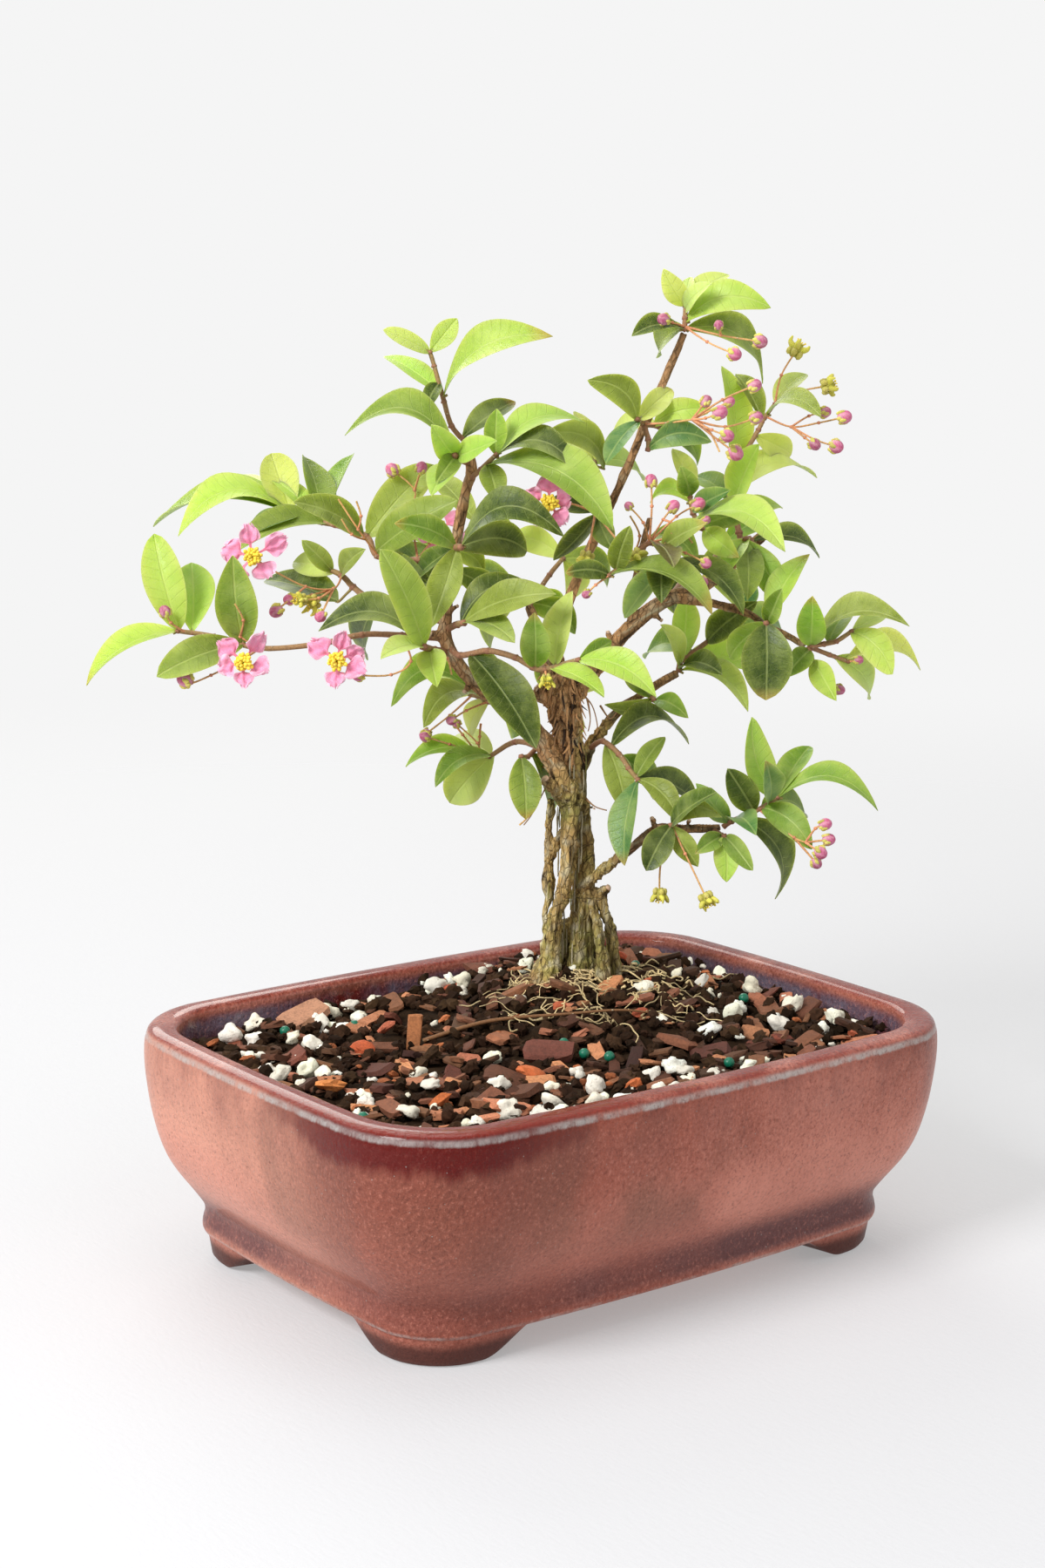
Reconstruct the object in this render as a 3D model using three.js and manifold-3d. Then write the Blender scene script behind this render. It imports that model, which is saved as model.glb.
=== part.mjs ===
// Barbados cherry bonsai in a glazed rectangular pot, as a three.js scene graph.
// Millimetres, +Z up. The drawing frame has its origin under the middle of the pot, with X along the
// long side and Y towards the back. The whole group is moved at the end, so that the origin lies under
// the middle of the tree and pot together, on the surface that the pot stands on.

import * as THREE from "three";
import { mergeVertices } from "three/addons/utils/BufferGeometryUtils.js";
import Module from "manifold-3d";

const wasm = await Module();
wasm.setup();

// Driving dimensions of the pot
const POT_LONG = 204;
const POT_SHORT = 150;
const POT_HEIGHT = 70;
const LONG_BOW = 3.8;
const SHORT_BOW = 2.8;
const CORNER_RADIUS = 27;
const CORNER_TIGHTENING = 0.7;
const CORNER_PARTS = 3;
const LONG_SIDE_PARTS = 4;
const SHORT_SIDE_PARTS = 3;
const RIM_WIDTH = 8.5;
const FLOOR_TOP = 16;
const FOOT_HEIGHT = 8;
const FOOT_INSET = 18.6;
const FOOT_FLARE = 0.8;
const FOOT_THICKNESS = 11.4;
const FOOT_START = 15;
const FOOT_REACH = 40;
const DRAIN_RADIUS = 9;
const DRAIN_X = 45;
const MESH_SIDE = 26;
const MESH_THICKNESS = 0.9;
const MESH_OPENING = 7;
const MESH_BAR_WIDTH = 3;

// Driving dimensions of the soil and the tree
const SOIL_EDGE = 61;
const SOIL_CROWN = 70;
const SOIL_DOME = 1.2;
const MOUND_RADIUS = 46;
const ROOT_DEPTH = 56;
const GAP = 0.3;
const TRUNK_SIDES = 5;
const STEM_SIDES = 4;
const STALK_SIDES = 3;
const BLADE_THICKNESS = 1.2;
const BLADE_RATIO = 0.4;
const SMALL_LEAF = 16;
const LEAF_NECK = 0.45;
const PETIOLE = 2.5;
const PETIOLE_RADIUS = 0.65;
const STALK_RADIUS = 0.5;
const PETAL_THICKNESS = 0.7;
const BLADE_FOLD = 0.22;
const BLADE_ARCH = 0.08;

// The tree is drawn as seen from its front. ACROSS is a distance to the right of the trunk and HEIGHT
// one above the table, both on an upright plane through TRUNK_FOOT that faces FRONT_EYE. FORWARD brings
// a point towards FRONT_EYE, so that it still covers the same place when the tree is seen from there.
const TRUNK_FOOT = new THREE.Vector3(36, 30, 0);
const FRONT_EYE = new THREE.Vector3(-462, -583, 280);
const ACROSS = new THREE.Vector3(0.7895, -0.6137, 0);
const UP = new THREE.Vector3(0, 0, 1);

function place([across, height, forward = 0]) {
  const point = TRUNK_FOOT.clone().addScaledVector(ACROSS, across).addScaledVector(UP, height);
  const sight = FRONT_EYE.clone().sub(point).normalize();
  return point.addScaledVector(sight, forward);
}

// Colours
const GLAZE = 0x9a4f45;
const SCREEN_GREEN = 0x2f4a35;
const SOIL_BROWN = 0x3b2a22;
const BARK = 0x6f5b40;
const LEAF = 0x5f9a35;
const LEAF_DARK = 0x3f6b2a;
const LEAF_PALE = 0x9cc455;
const PETAL = 0xf07fae;
const STAMEN = 0xf2c832;

function finish(color, roughness, metalness = 0) {
  return new THREE.MeshStandardMaterial({ color, roughness, metalness });
}

// Joining and cutting closed solids
function solid(geometry) {
  const bare = new THREE.BufferGeometry();
  bare.setAttribute("position", geometry.getAttribute("position").clone());
  if (geometry.index) {
    bare.setIndex(geometry.index.clone());
  }
  const merged = mergeVertices(bare, 1e-4);
  return new wasm.Manifold(new wasm.Mesh({
    numProp: 3,
    vertProperties: new Float32Array(merged.getAttribute("position").array),
    triVerts: new Uint32Array(merged.index.array),
  }));
}

function join(solids) {
  return solids.reduce((whole, piece) => whole.add(piece));
}

// A cut can leave a loose scrap, such as a leaf's tip: only the largest body stays.
function largest(whole) {
  return whole.decompose().reduce((best, body) => (body.volume() > best.volume() ? body : best));
}

function geometryOf(whole) {
  const mesh = whole.getMesh();
  const geometry = new THREE.BufferGeometry();
  geometry.setAttribute("position", new THREE.BufferAttribute(new Float32Array(mesh.vertProperties), 3));
  geometry.setIndex(new THREE.BufferAttribute(new Uint32Array(mesh.triVerts), 1));
  geometry.computeVertexNormals();
  return geometry;
}

// A closed skin over rings of points. Each ring has as many points as the next, or is a single point.
// The corners of a quad are joined by its shorter diagonal, so thin blades match on both faces.
function skin(rings) {
  const points = rings.flat();
  const starts = [];
  let count = 0;
  for (const ring of rings) {
    starts.push(count);
    count += ring.length;
  }
  const faces = [];
  for (let k = 0; k + 1 < rings.length; k++) {
    const low = rings[k];
    const high = rings[k + 1];
    const sides = Math.max(low.length, high.length);
    for (let i = 0; i < sides; i++) {
      const j = (i + 1) % sides;
      const a = starts[k] + (low.length > 1 ? i : 0);
      const b = starts[k] + (low.length > 1 ? j : 0);
      const c = starts[k + 1] + (high.length > 1 ? j : 0);
      const d = starts[k + 1] + (high.length > 1 ? i : 0);
      if (points[a].distanceTo(points[c]) <= points[b].distanceTo(points[d])) {
        if (a !== b) faces.push(a, b, c);
        if (c !== d) faces.push(a, c, d);
      } else {
        if (a !== b) faces.push(a, b, d);
        if (c !== d) faces.push(b, c, d);
      }
    }
  }
  const last = starts[rings.length - 1];
  for (let i = 1; i + 1 < rings[0].length; i++) {
    faces.push(0, i + 1, i);
  }
  for (let i = 1; i + 1 < rings[rings.length - 1].length; i++) {
    faces.push(last, last + i, last + i + 1);
  }
  const geometry = new THREE.BufferGeometry();
  const values = points.flatMap((p) => p.toArray());
  geometry.setAttribute("position", new THREE.Float32BufferAttribute(values, 3));
  geometry.setIndex(faces);
  const made = solid(geometry);
  if (made.volume() > 0) {
    return made;
  }
  for (let i = 0; i < faces.length; i += 3) {
    [faces[i], faces[i + 1]] = [faces[i + 1], faces[i]];
  }
  geometry.setIndex(faces);
  return solid(geometry);
}

// A direction that no limb runs in, from which the limbs' corners are counted
const LIMB_TURN = new THREE.Vector3(0.3, 0.2, 1);
// A limb has few sides, so it is grown by more than the gap at its corners.
const FLAT_SIDE_ALLOWANCE = 1.15;

// A tapering round limb along points, whose radii go with the points. Grown, it is fatter all over.
function limb(points, radii, sides, grow = 0) {
  const path = points.map((p) => p.clone());
  const last = path.length - 1;
  const dirs = path.map((p, i) => {
    const before = path[Math.max(i - 1, 0)];
    const after = path[Math.min(i + 1, last)];
    return after.clone().sub(before).normalize();
  });
  if (grow) {
    path[0].addScaledVector(dirs[0], -grow);
    path[last].addScaledVector(dirs[last], grow);
  }
  let across = LIMB_TURN.clone().cross(dirs[0]).normalize();
  return skin(path.map((p, i) => {
    across = across.clone().addScaledVector(dirs[i], -across.dot(dirs[i])).normalize();
    const other = dirs[i].clone().cross(across);
    const ring = [];
    for (let k = 0; k < sides; k++) {
      const turn = (k / sides) * 2 * Math.PI;
      const reach = radii[Math.min(i, radii.length - 1)] + grow * FLAT_SIDE_ALLOWANCE;
      ring.push(p.clone()
        .addScaledVector(across, Math.cos(turn) * reach)
        .addScaledVector(other, Math.sin(turn) * reach));
    }
    return ring;
  }));
}

// Radii that taper evenly from one end of a limb to the other
function taper(count, from, to) {
  return Array.from({ length: count }, (_, i) => from + ((to - from) * i) / (count - 1));
}

// The pot

// The pot's outline, drawn in from the rim's edge: bowed sides that meet in round corners
function outline(inset, z) {
  const halfLong = POT_LONG / 2 - inset;
  const halfShort = POT_SHORT / 2 - inset;
  const radius = CORNER_RADIUS - CORNER_TIGHTENING * inset;
  const ring = [];
  const corners = [[1, 1, 0], [-1, 1, 1], [-1, -1, 2], [1, -1, 3]];
  for (const [sx, sy, quarter] of corners) {
    for (let k = 0; k <= CORNER_PARTS; k++) {
      const turn = (quarter + k / CORNER_PARTS) * (Math.PI / 2);
      const x = sx * (halfLong - radius) + radius * Math.cos(turn);
      const y = sy * (halfShort - radius) + radius * Math.sin(turn);
      ring.push(bowed(x, y, z, halfLong, halfShort));
    }
    const [ax, ay] = [sx * (halfLong - radius), sy * (halfShort - radius)];
    const [from, to, parts] = quarter % 2 === 0
      ? [[ax, sy * halfShort], [-ax, sy * halfShort], LONG_SIDE_PARTS]
      : [[sx * halfLong, ay], [sx * halfLong, -ay], SHORT_SIDE_PARTS];
    for (let k = 1; k < parts; k++) {
      const x = from[0] + (to[0] - from[0]) * (k / parts);
      const y = from[1] + (to[1] - from[1]) * (k / parts);
      ring.push(bowed(x, y, z, halfLong, halfShort));
    }
  }
  return ring;
}

function bowed(x, y, z, halfLong, halfShort) {
  const u = x / halfLong;
  const v = y / halfShort;
  return new THREE.Vector3(x + SHORT_BOW * u * (1 - v * v), y + LONG_BOW * v * (1 - u * u), z);
}

// The outer wall and the inner wall as [inset, height], from the underside up over the rim and down
const POT_PROFILE = [
  [17.2, FOOT_HEIGHT], [16.2, FOOT_HEIGHT + 1.4], [16.8, 16], [15.6, 19.5], [10, 27], [4, 39],
  [0.2, 54], [-0.2, 65], [2, POT_HEIGHT], [RIM_WIDTH - 1, POT_HEIGHT], [RIM_WIDTH + 0.4, 67],
  [RIM_WIDTH + 3, 48], [RIM_WIDTH + 12, 27], [RIM_WIDTH + 18, FLOOR_TOP],
];

// The end of a foot, as [distance beyond its reach, height]: it sweeps up in an ogee to the pot's base.
const FOOT_SWEEP = [[-9, -1], [-5, 4.5], [2, FOOT_HEIGHT + 0.5]];

// A foot runs round a corner of the underside.
function potFoot(sx, sy) {
  const block = skin([outline(FOOT_INSET, 0), outline(FOOT_INSET - FOOT_FLARE, FOOT_HEIGHT + 1)]);
  const inner = FOOT_INSET + FOOT_THICKNESS;
  const core = skin([outline(inner, -1), outline(inner, FOOT_HEIGHT + 2)]);
  const side = new THREE.Shape();
  side.moveTo(0, -1);
  for (const [back, z] of FOOT_SWEEP) {
    side.lineTo(FOOT_REACH + back, z);
  }
  side.lineTo(0, FOOT_HEIGHT + 0.5);
  const upright = new THREE.ExtrudeGeometry(side, { depth: POT_LONG, bevelEnabled: false });
  upright.rotateX(Math.PI / 2);
  const alongX = upright.clone().scale(-sx, 1, 1);
  alongX.translate(sx * (POT_LONG / 2 - FOOT_START), POT_LONG / 2, 0);
  const alongY = upright.clone().rotateZ(Math.PI / 2).scale(1, -sy, 1);
  alongY.translate(-POT_LONG / 2, sy * (POT_SHORT / 2 - FOOT_START), 0);
  return block.subtract(core).intersect(facingOut(alongX)).intersect(facingOut(alongY));
}

// Mirroring turns a solid inside out, so its faces are turned back where that has happened.
function facingOut(geometry) {
  const plain = geometry.index ? geometry.toNonIndexed() : geometry;
  const made = solid(plain);
  if (made.volume() > 0) {
    return made;
  }
  const at = plain.getAttribute("position");
  for (let i = 0; i < at.count; i += 3) {
    const first = new THREE.Vector3().fromBufferAttribute(at, i);
    const second = new THREE.Vector3().fromBufferAttribute(at, i + 1);
    at.setXYZ(i, second.x, second.y, second.z);
    at.setXYZ(i + 1, first.x, first.y, first.z);
  }
  return solid(plain);
}

function drainHole(x) {
  const hole = new THREE.CylinderGeometry(DRAIN_RADIUS, DRAIN_RADIUS, 2 * FLOOR_TOP, 16);
  hole.rotateX(Math.PI / 2);
  hole.translate(x, 0, FLOOR_TOP);
  return solid(hole);
}

function makePot() {
  let pot = skin(POT_PROFILE.map(([inset, z]) => outline(inset, z)));
  for (const [sx, sy] of [[1, 1], [-1, 1], [-1, -1], [1, -1]]) {
    pot = pot.add(potFoot(sx, sy));
  }
  for (const x of [-DRAIN_X, DRAIN_X]) {
    pot = pot.subtract(drainHole(x));
  }
  return pot;
}

// A square of plastic mesh lies over each drain hole and keeps the soil in.
function makeScreen(x) {
  const height = FLOOR_TOP + GAP + MESH_THICKNESS / 2;
  const plate = new THREE.BoxGeometry(MESH_SIDE, MESH_SIDE, MESH_THICKNESS);
  plate.translate(x, 0, height);
  let screen = solid(plate);
  for (const [sx, sy] of [[1, 1], [-1, 1], [-1, -1], [1, -1]]) {
    const opening = new THREE.BoxGeometry(MESH_OPENING, MESH_OPENING, 4 * MESH_THICKNESS);
    const off = (MESH_OPENING + MESH_BAR_WIDTH) / 2;
    opening.translate(x + sx * off, sy * off, height);
    screen = screen.subtract(solid(opening));
  }
  return screen;
}

// The soil

// A mound under the trunk, and low waves so that the surface isn't flat
function soilHeight(x, y) {
  const away = Math.hypot(x - TRUNK_FOOT.x, y - TRUNK_FOOT.y) / MOUND_RADIUS;
  const mound = (SOIL_CROWN - SOIL_EDGE) * Math.exp(-away * away);
  const swell = 0.9 * Math.sin(x * 0.16 + 1) * Math.cos(y * 0.19);
  const ripple = 0.6 * Math.sin(x * 0.41 + y * 0.33);
  return SOIL_EDGE + SOIL_DOME + mound + swell + ripple;
}

// The soil's rings follow the pot's inner wall, kept clear of it, then draw in over the surface.
function makeSoilBody() {
  const topEdge = outline(RIM_WIDTH + 1.9, SOIL_EDGE - 1);
  const wall = [
    outline(RIM_WIDTH + 18.4, FLOOR_TOP + MESH_THICKNESS + 2 * GAP),
    outline(RIM_WIDTH + 12.6, 27.4),
    outline(RIM_WIDTH + 3.6, 48),
    topEdge,
  ];
  const middle = new THREE.Vector3(TRUNK_FOOT.x * 0.5, TRUNK_FOOT.y * 0.3, 0);
  const over = [0.8, 0.52, 0.25].map((share) => topEdge.map((p) => {
    const x = middle.x + (p.x - middle.x) * share;
    const y = middle.y + (p.y - middle.y) * share;
    return new THREE.Vector3(x, y, soilHeight(x, y));
  }));
  const top = [new THREE.Vector3(middle.x, middle.y, soilHeight(middle.x, middle.y))];
  return skin([...wall, ...over, top]);
}

// A repeatable draw from 0 to 1
function makeDraw(seed) {
  let state = seed;
  return () => {
    state = (state * 16807) % 2147483647;
    return state / 2147483647;
  };
}

// Chips of bark and lumps of perlite on the surface: [x, y, size], and a bark chip's turn in degrees
const CHIP_THICKNESS = 2.4;
const BARK_CHIPS = [
  [-72, 44, 13, 20], [-20, -18, 12, 75], [14, -38, 12, 160], [-48, -22, 10, 40], [30, -50, 9, 15],
  [62, -22, 9, 130], [-8, 22, 9, 60], [-38, 36, 10, 150], [76, 30, 9, 80], [4, 50, 9, 95],
  [-84, 0, 9, 35],
];
const PERLITE_LUMPS = [
  [-86, 34, 8], [-58, 26, 7], [-66, 4, 7], [-26, -40, 8], [8, -54, 7], [56, -50, 7.5], [84, 4, 8.5],
  [90, -26, 7], [66, 12, 7], [46, 58, 7], [-30, 58, 7], [8, -24, 7], [-60, -36, 7],
];

function barkChip([x, y, size, turn], tilt) {
  const chip = new THREE.BoxGeometry(size, size / 2, CHIP_THICKNESS);
  chip.rotateX(tilt);
  chip.rotateZ(THREE.MathUtils.degToRad(turn));
  chip.translate(x, y, soilHeight(x, y) + CHIP_THICKNESS / 4);
  return solid(chip);
}

function perliteLump([x, y, size], spin) {
  const lump = new THREE.OctahedronGeometry(size / 2, 0);
  lump.scale(1, 0.8, 0.75);
  lump.rotateZ(spin);
  lump.translate(x, y, soilHeight(x, y) + size * 0.16);
  return solid(lump);
}

function makeSoil() {
  const draw = makeDraw(11);
  const pieces = [makeSoilBody()];
  for (const chip of BARK_CHIPS) {
    pieces.push(barkChip(chip, 0.5 * (draw() - 0.5)));
  }
  for (const lump of PERLITE_LUMPS) {
    pieces.push(perliteLump(lump, draw() * Math.PI));
  }
  let soil = join(pieces);
  for (const root of ROOTS) {
    soil = soil.subtract(rootLimb(root, GAP));
  }
  return largest(soil);
}

// The trunk: [across, height, forward] down the middle of each strand, and its radius at each point

// Roots stand in plain holes in the soil and go down as far as ROOT_DEPTH.
const ROOTS = [
  {
    path: [[-8.5, 92, 3], [-8.8, 80, 3], [-9.6, 74, 4], [-11.5, 68, 5], [-13, ROOT_DEPTH, 6]],
    radii: [3, 3.6, 4.4, 5.2, 3.6],
  },
  {
    path: [[1.6, 92, -1], [1.3, 80, -1], [1.2, 72, -1], [1.2, ROOT_DEPTH, -1]],
    radii: [3.6, 3.8, 4.6, 3.6],
  },
  {
    path: [[7.3, 96, 0], [9, 90, 1], [10.6, 84, 2], [11.4, 74, 3], [12.6, ROOT_DEPTH, 4]],
    radii: [1.5, 1.5, 1.6, 1.9, 1.6],
  },
  {
    path: [[4.5, 95, 1], [5.6, 89, 4], [7.2, 82, 7], [8.2, 74, 9], [8.6, ROOT_DEPTH, 11]],
    radii: [1.3, 1.4, 1.5, 1.8, 1.5],
  },
  {
    path: [[-3, 88, -4], [-3.5, 80, -7], [-4.5, 73, -10], [-6, ROOT_DEPTH, -13]],
    radii: [2.6, 2.6, 3, 2.4],
  },
  {
    path: [[3, 86, -4], [5.5, 78, -8], [8, 72, -12], [11, ROOT_DEPTH, -16]],
    radii: [2, 2, 2.2, 1.8],
  },
];

function rootLimb({ path, radii }, grow = 0) {
  return limb(path.map(place), radii, TRUNK_SIDES, grow);
}

// Strands of the trunk that twist round each other and have grown together
const STRANDS = [
  {
    path: [[-8, 90, 3], [-3.8, 100, 5], [-2.8, 110, 5], [-3.4, 118, 4], [-3.4, 127, 3], [-3.2, 137, 2]],
    radii: [2.6, 2.6, 2.9, 3.6, 5, 4.2],
  },
  { path: [[1.4, 90, -1], [1.9, 108, -2], [0.5, 118, -1], [-1, 127, 0]], radii: [3.7, 3.1, 3.2, 4.2] },
  {
    path: [[-9.8, 84, 1], [-8.8, 100, -2], [-9.4, 108, -3], [-8.4, 127, -1]],
    radii: [1.6, 2.1, 1.3, 1.3],
  },
  { path: [[-4.6, 117, 1], [-9.4, 107, -2]], radii: [1.4, 1.2] },
  { path: [[-2.6, 132, 0], [-3, 141, 0], [-5, 156, -2], [-6.6, 165, -3]], radii: [3.6, 3.4, 5, 3.6] },
  { path: [[-8.5, 158, -2], [-13.5, 161, -1]], radii: [3, 2.2] },
  { path: [[2, 97, 0], [7.6, 97.5, 0]], radii: [2.2, 1.5] },
];

// Main limbs, from the trunk out to where each was last cut or goes on as a leafy shoot
const LEFT_LEADER = [
  [-5, 133, 1], [-12, 145, 3], [-20, 153, 6], [-33, 163, 8], [-41, 174, 8], [-41.5, 183, 7], [-40, 195, 5],
  [-38.5, 205, 3], [-36, 219, 1], [-34, 226, 0], [-34.5, 231, 0],
];
const CENTRE_LEADER = [
  [-7, 160, -3], [-7.5, 175, -6], [-3.3, 190.7, -8], [3.3, 206.7, -10], [12, 226.5, -10], [18, 241.3, -8],
  [26, 261, -6], [29, 268.5, -6],
];
const RIGHT_LIMB = [
  [-3, 158, -1], [4, 168, -2], [9, 174, -4], [14.5, 180, -6], [20.5, 185.5, -8], [27, 189.5, -9],
  [39, 194.3, -12], [48, 202.8, -14], [54, 208.3, -15],
];
const RIGHT_BRANCH = [
  [27, 189.5, -9], [38, 188, -7], [49.5, 185.2, -4], [56, 181.4, -2], [63.6, 177.5, 1], [68, 175.3, 3],
];
const RIGHT_SPIRE = [[15.5, 181, -7], [15, 190.5, -6], [18, 205, -5], [20, 213.5, -4]];
const LOW_RIGHT_LIMB = [
  [-1, 133, 0], [3, 143.5, -6], [6, 147.3, -9], [10.3, 153, -14], [15, 157.3, -18], [24.4, 163.5, -25],
  [29.3, 166.3, -28],
];
const LOWEST_LIMB = [
  [1, 99, 0], [9, 105.7, 5], [15.3, 110.8, 8], [24, 117.7, 13], [30, 117.8, 15], [43.5, 118.3, 19],
];
const BACK_LIMB = [[-5, 158, -3], [-8, 166, -16], [-12, 176, -32], [-16, 186, -44]];
const BACK_LOW_LIMB = [[-2, 132, -1], [-6, 141, -14], [-14, 150, -30], [-20, 158, -42]];

const LIMBS = [
  { path: LEFT_LEADER, radii: [3.2, 2.9, 2.4, 1.9, 2.1, 1.8, 1.6, 1.6, 1.6, 1.7, 1.6] },
  { path: CENTRE_LEADER, radii: [2.6, 2, 1.6, 1.4, 1.3, 1.3, 1.1, 1] },
  { path: RIGHT_LIMB, radii: [2.8, 2.4, 2.3, 2.3, 2.3, 2.2, 1.8, 1.7, 1.6] },
  { path: RIGHT_BRANCH, radii: [1.6, 1.4, 1.2, 1.1, 1, 1] },
  { path: RIGHT_SPIRE, radii: [1.6, 1.3, 1.1, 0.9] },
  { path: [[42.2, 193.5, -12], [49.5, 193.5, -9]], radii: [1.2, 0.8] },
  { path: LOW_RIGHT_LIMB, radii: [2, 1.7, 1.6, 1.5, 1.4, 1.3, 1.2] },
  { path: LOWEST_LIMB, radii: [1.6, 1.5, 1.4, 1.4, 1.3, 1.1] },
  { path: BACK_LIMB, radii: [2.6, 2.2, 1.8, 1.4] },
  { path: BACK_LOW_LIMB, radii: [2.2, 1.8, 1.5, 1.2] },
];

function makeTrunk(grow = 0) {
  const roots = ROOTS.map((root) => rootLimb(root, grow));
  const strands = STRANDS.map(({ path, radii }) => limb(path.map(place), radii, TRUNK_SIDES, grow));
  const limbs = LIMBS.map(({ path, radii }) => limb(path.map(place), radii, TRUNK_SIDES, grow));
  return join([...strands, ...roots, ...limbs]);
}

// Leafy shoots

// A leaf: a folded, arched blade on a short stalk. seen is the width that shows from FRONT_EYE, and
// the rest of the leaf's true width is turned edge on. lift bends the midrib upwards, in millimetres.
function makeLeaf(root, tip, seen, lift, grow = 0) {
  const along = tip.clone().sub(root);
  const length = along.length();
  along.normalize();
  const middle = root.clone().lerp(tip, 0.5);
  const toEye = FRONT_EYE.clone().sub(middle).normalize();
  const facing = toEye.addScaledVector(along, -toEye.dot(along)).normalize();
  const upward = along.clone().cross(facing).normalize();
  if (upward.z < 0) {
    upward.negate();
  }
  const width = Math.max(seen, BLADE_RATIO * length);
  const open = Math.min(1, seen / width);
  const normal = facing.clone().multiplyScalar(open).addScaledVector(upward, Math.sqrt(1 - open * open));
  const side = along.clone().cross(normal).normalize();
  const ring = (t, halfWidth, halfThick, fold) => {
    const bulge = 4 * t * (1 - t);
    const spine = root.clone().addScaledVector(along, t * length)
      .addScaledVector(normal, BLADE_ARCH * length * bulge).addScaledVector(upward, lift * bulge);
    const at = (s, n) => spine.clone().addScaledVector(side, s).addScaledVector(normal, n);
    const [w, h] = [halfWidth + 4 * grow, halfThick + grow];
    return [at(-w, fold), at(0, h), at(w, fold), at(0, -h)];
  };
  const thick = BLADE_THICKNESS / 2;
  const blade = (length < SMALL_LEAF ? [[0.5, 0.5]] : [[0.3, 0.4], [0.68, 0.44]])
    .map(([t, half]) => ring(t, half * width, thick, BLADE_FOLD * half * width));
  const neck = ring(0, LEAF_NECK, LEAF_NECK, 0);
  return skin([neck, ...blade, [root.clone().addScaledVector(along, length + 2 * grow)]]);
}

// The nearest point of a shoot's stems, as seen from the front, with its forward distance
function nearestOnStems(stems, across, height) {
  let best = null;
  for (const { path } of stems) {
    for (let i = 0; i + 1 < path.length; i++) {
      const [ax, ah, af = 0] = path[i];
      const [bx, bh, bf = 0] = path[i + 1];
      const reach = (bx - ax) ** 2 + (bh - ah) ** 2;
      const t = Math.min(1, Math.max(0, ((across - ax) * (bx - ax) + (height - ah) * (bh - ah)) / reach));
      const spot = [ax + (bx - ax) * t, ah + (bh - ah) * t, af + (bf - af) * t];
      const off = Math.hypot(spot[0] - across, spot[1] - height);
      if (!best || off < best.off) {
        best = { off, spot };
      }
    }
  }
  return best;
}

// A leaf is listed as [across, height] at its base, [across, height] at its tip, the width seen, how far
// its tip comes forward of its base, and its lift. Its stalk reaches the nearest stem of its shoot.
function leafSolids(stems, [x0, h0, x1, h1, seen, forward = 0, lift = 0], grow) {
  const { off, spot } = nearestOnStems(stems, x0, h0);
  const tip = place([x1, h1, spot[2] + forward]);
  if (off < PETIOLE) {
    return [makeLeaf(place(spot), tip, seen, lift, grow)];
  }
  const base = place([x0, h0, spot[2]]);
  const petiole = limb([place(spot), base], [PETIOLE_RADIUS], STALK_SIDES, grow);
  return [petiole, makeLeaf(base, tip, seen, lift, grow)];
}

// A stalk is listed by its path, its radius and what it ends in: a round bud, a spent star or nothing.
function stalkSolids({ path, radius = STALK_RADIUS, bud = 0, star = 0 }, grow) {
  const points = path.map(place);
  const end = points[points.length - 1];
  const solids = [limb(points, [radius], STALK_SIDES, grow)];
  if (bud) {
    const ball = new THREE.OctahedronGeometry(bud * 0.58 + grow, 0);
    ball.translate(end.x, end.y, end.z);
    solids.push(solid(ball));
  }
  if (star) {
    const ring = [];
    for (let k = 0; k < 10; k++) {
      const turn = (k / 10) * 2 * Math.PI;
      const reach = (k % 2 ? 0.22 : 0.5) * star + grow;
      ring.push(end.clone().add(new THREE.Vector3(Math.cos(turn) * reach, Math.sin(turn) * reach, 0.6)));
    }
    const apex = 0.2 * star + grow;
    const under = end.clone().addScaledVector(UP, -apex);
    const over = end.clone().addScaledVector(UP, apex);
    solids.push(skin([[under], ring, [over]]));
  }
  return solids;
}

function makeShoot({ stems = [], leaves = [], stalks = [] }, grow = 0) {
  const solids = stems.map(({ path, radii }) => (
    limb(path.map(place), taper(path.length, radii[0], radii[1]), STEM_SIDES, grow)));
  for (const leaf of leaves) {
    solids.push(...leafSolids(stems, leaf, grow));
  }
  for (const stalk of stalks) {
    solids.push(...stalkSolids(stalk, grow));
  }
  return join(solids);
}

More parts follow.
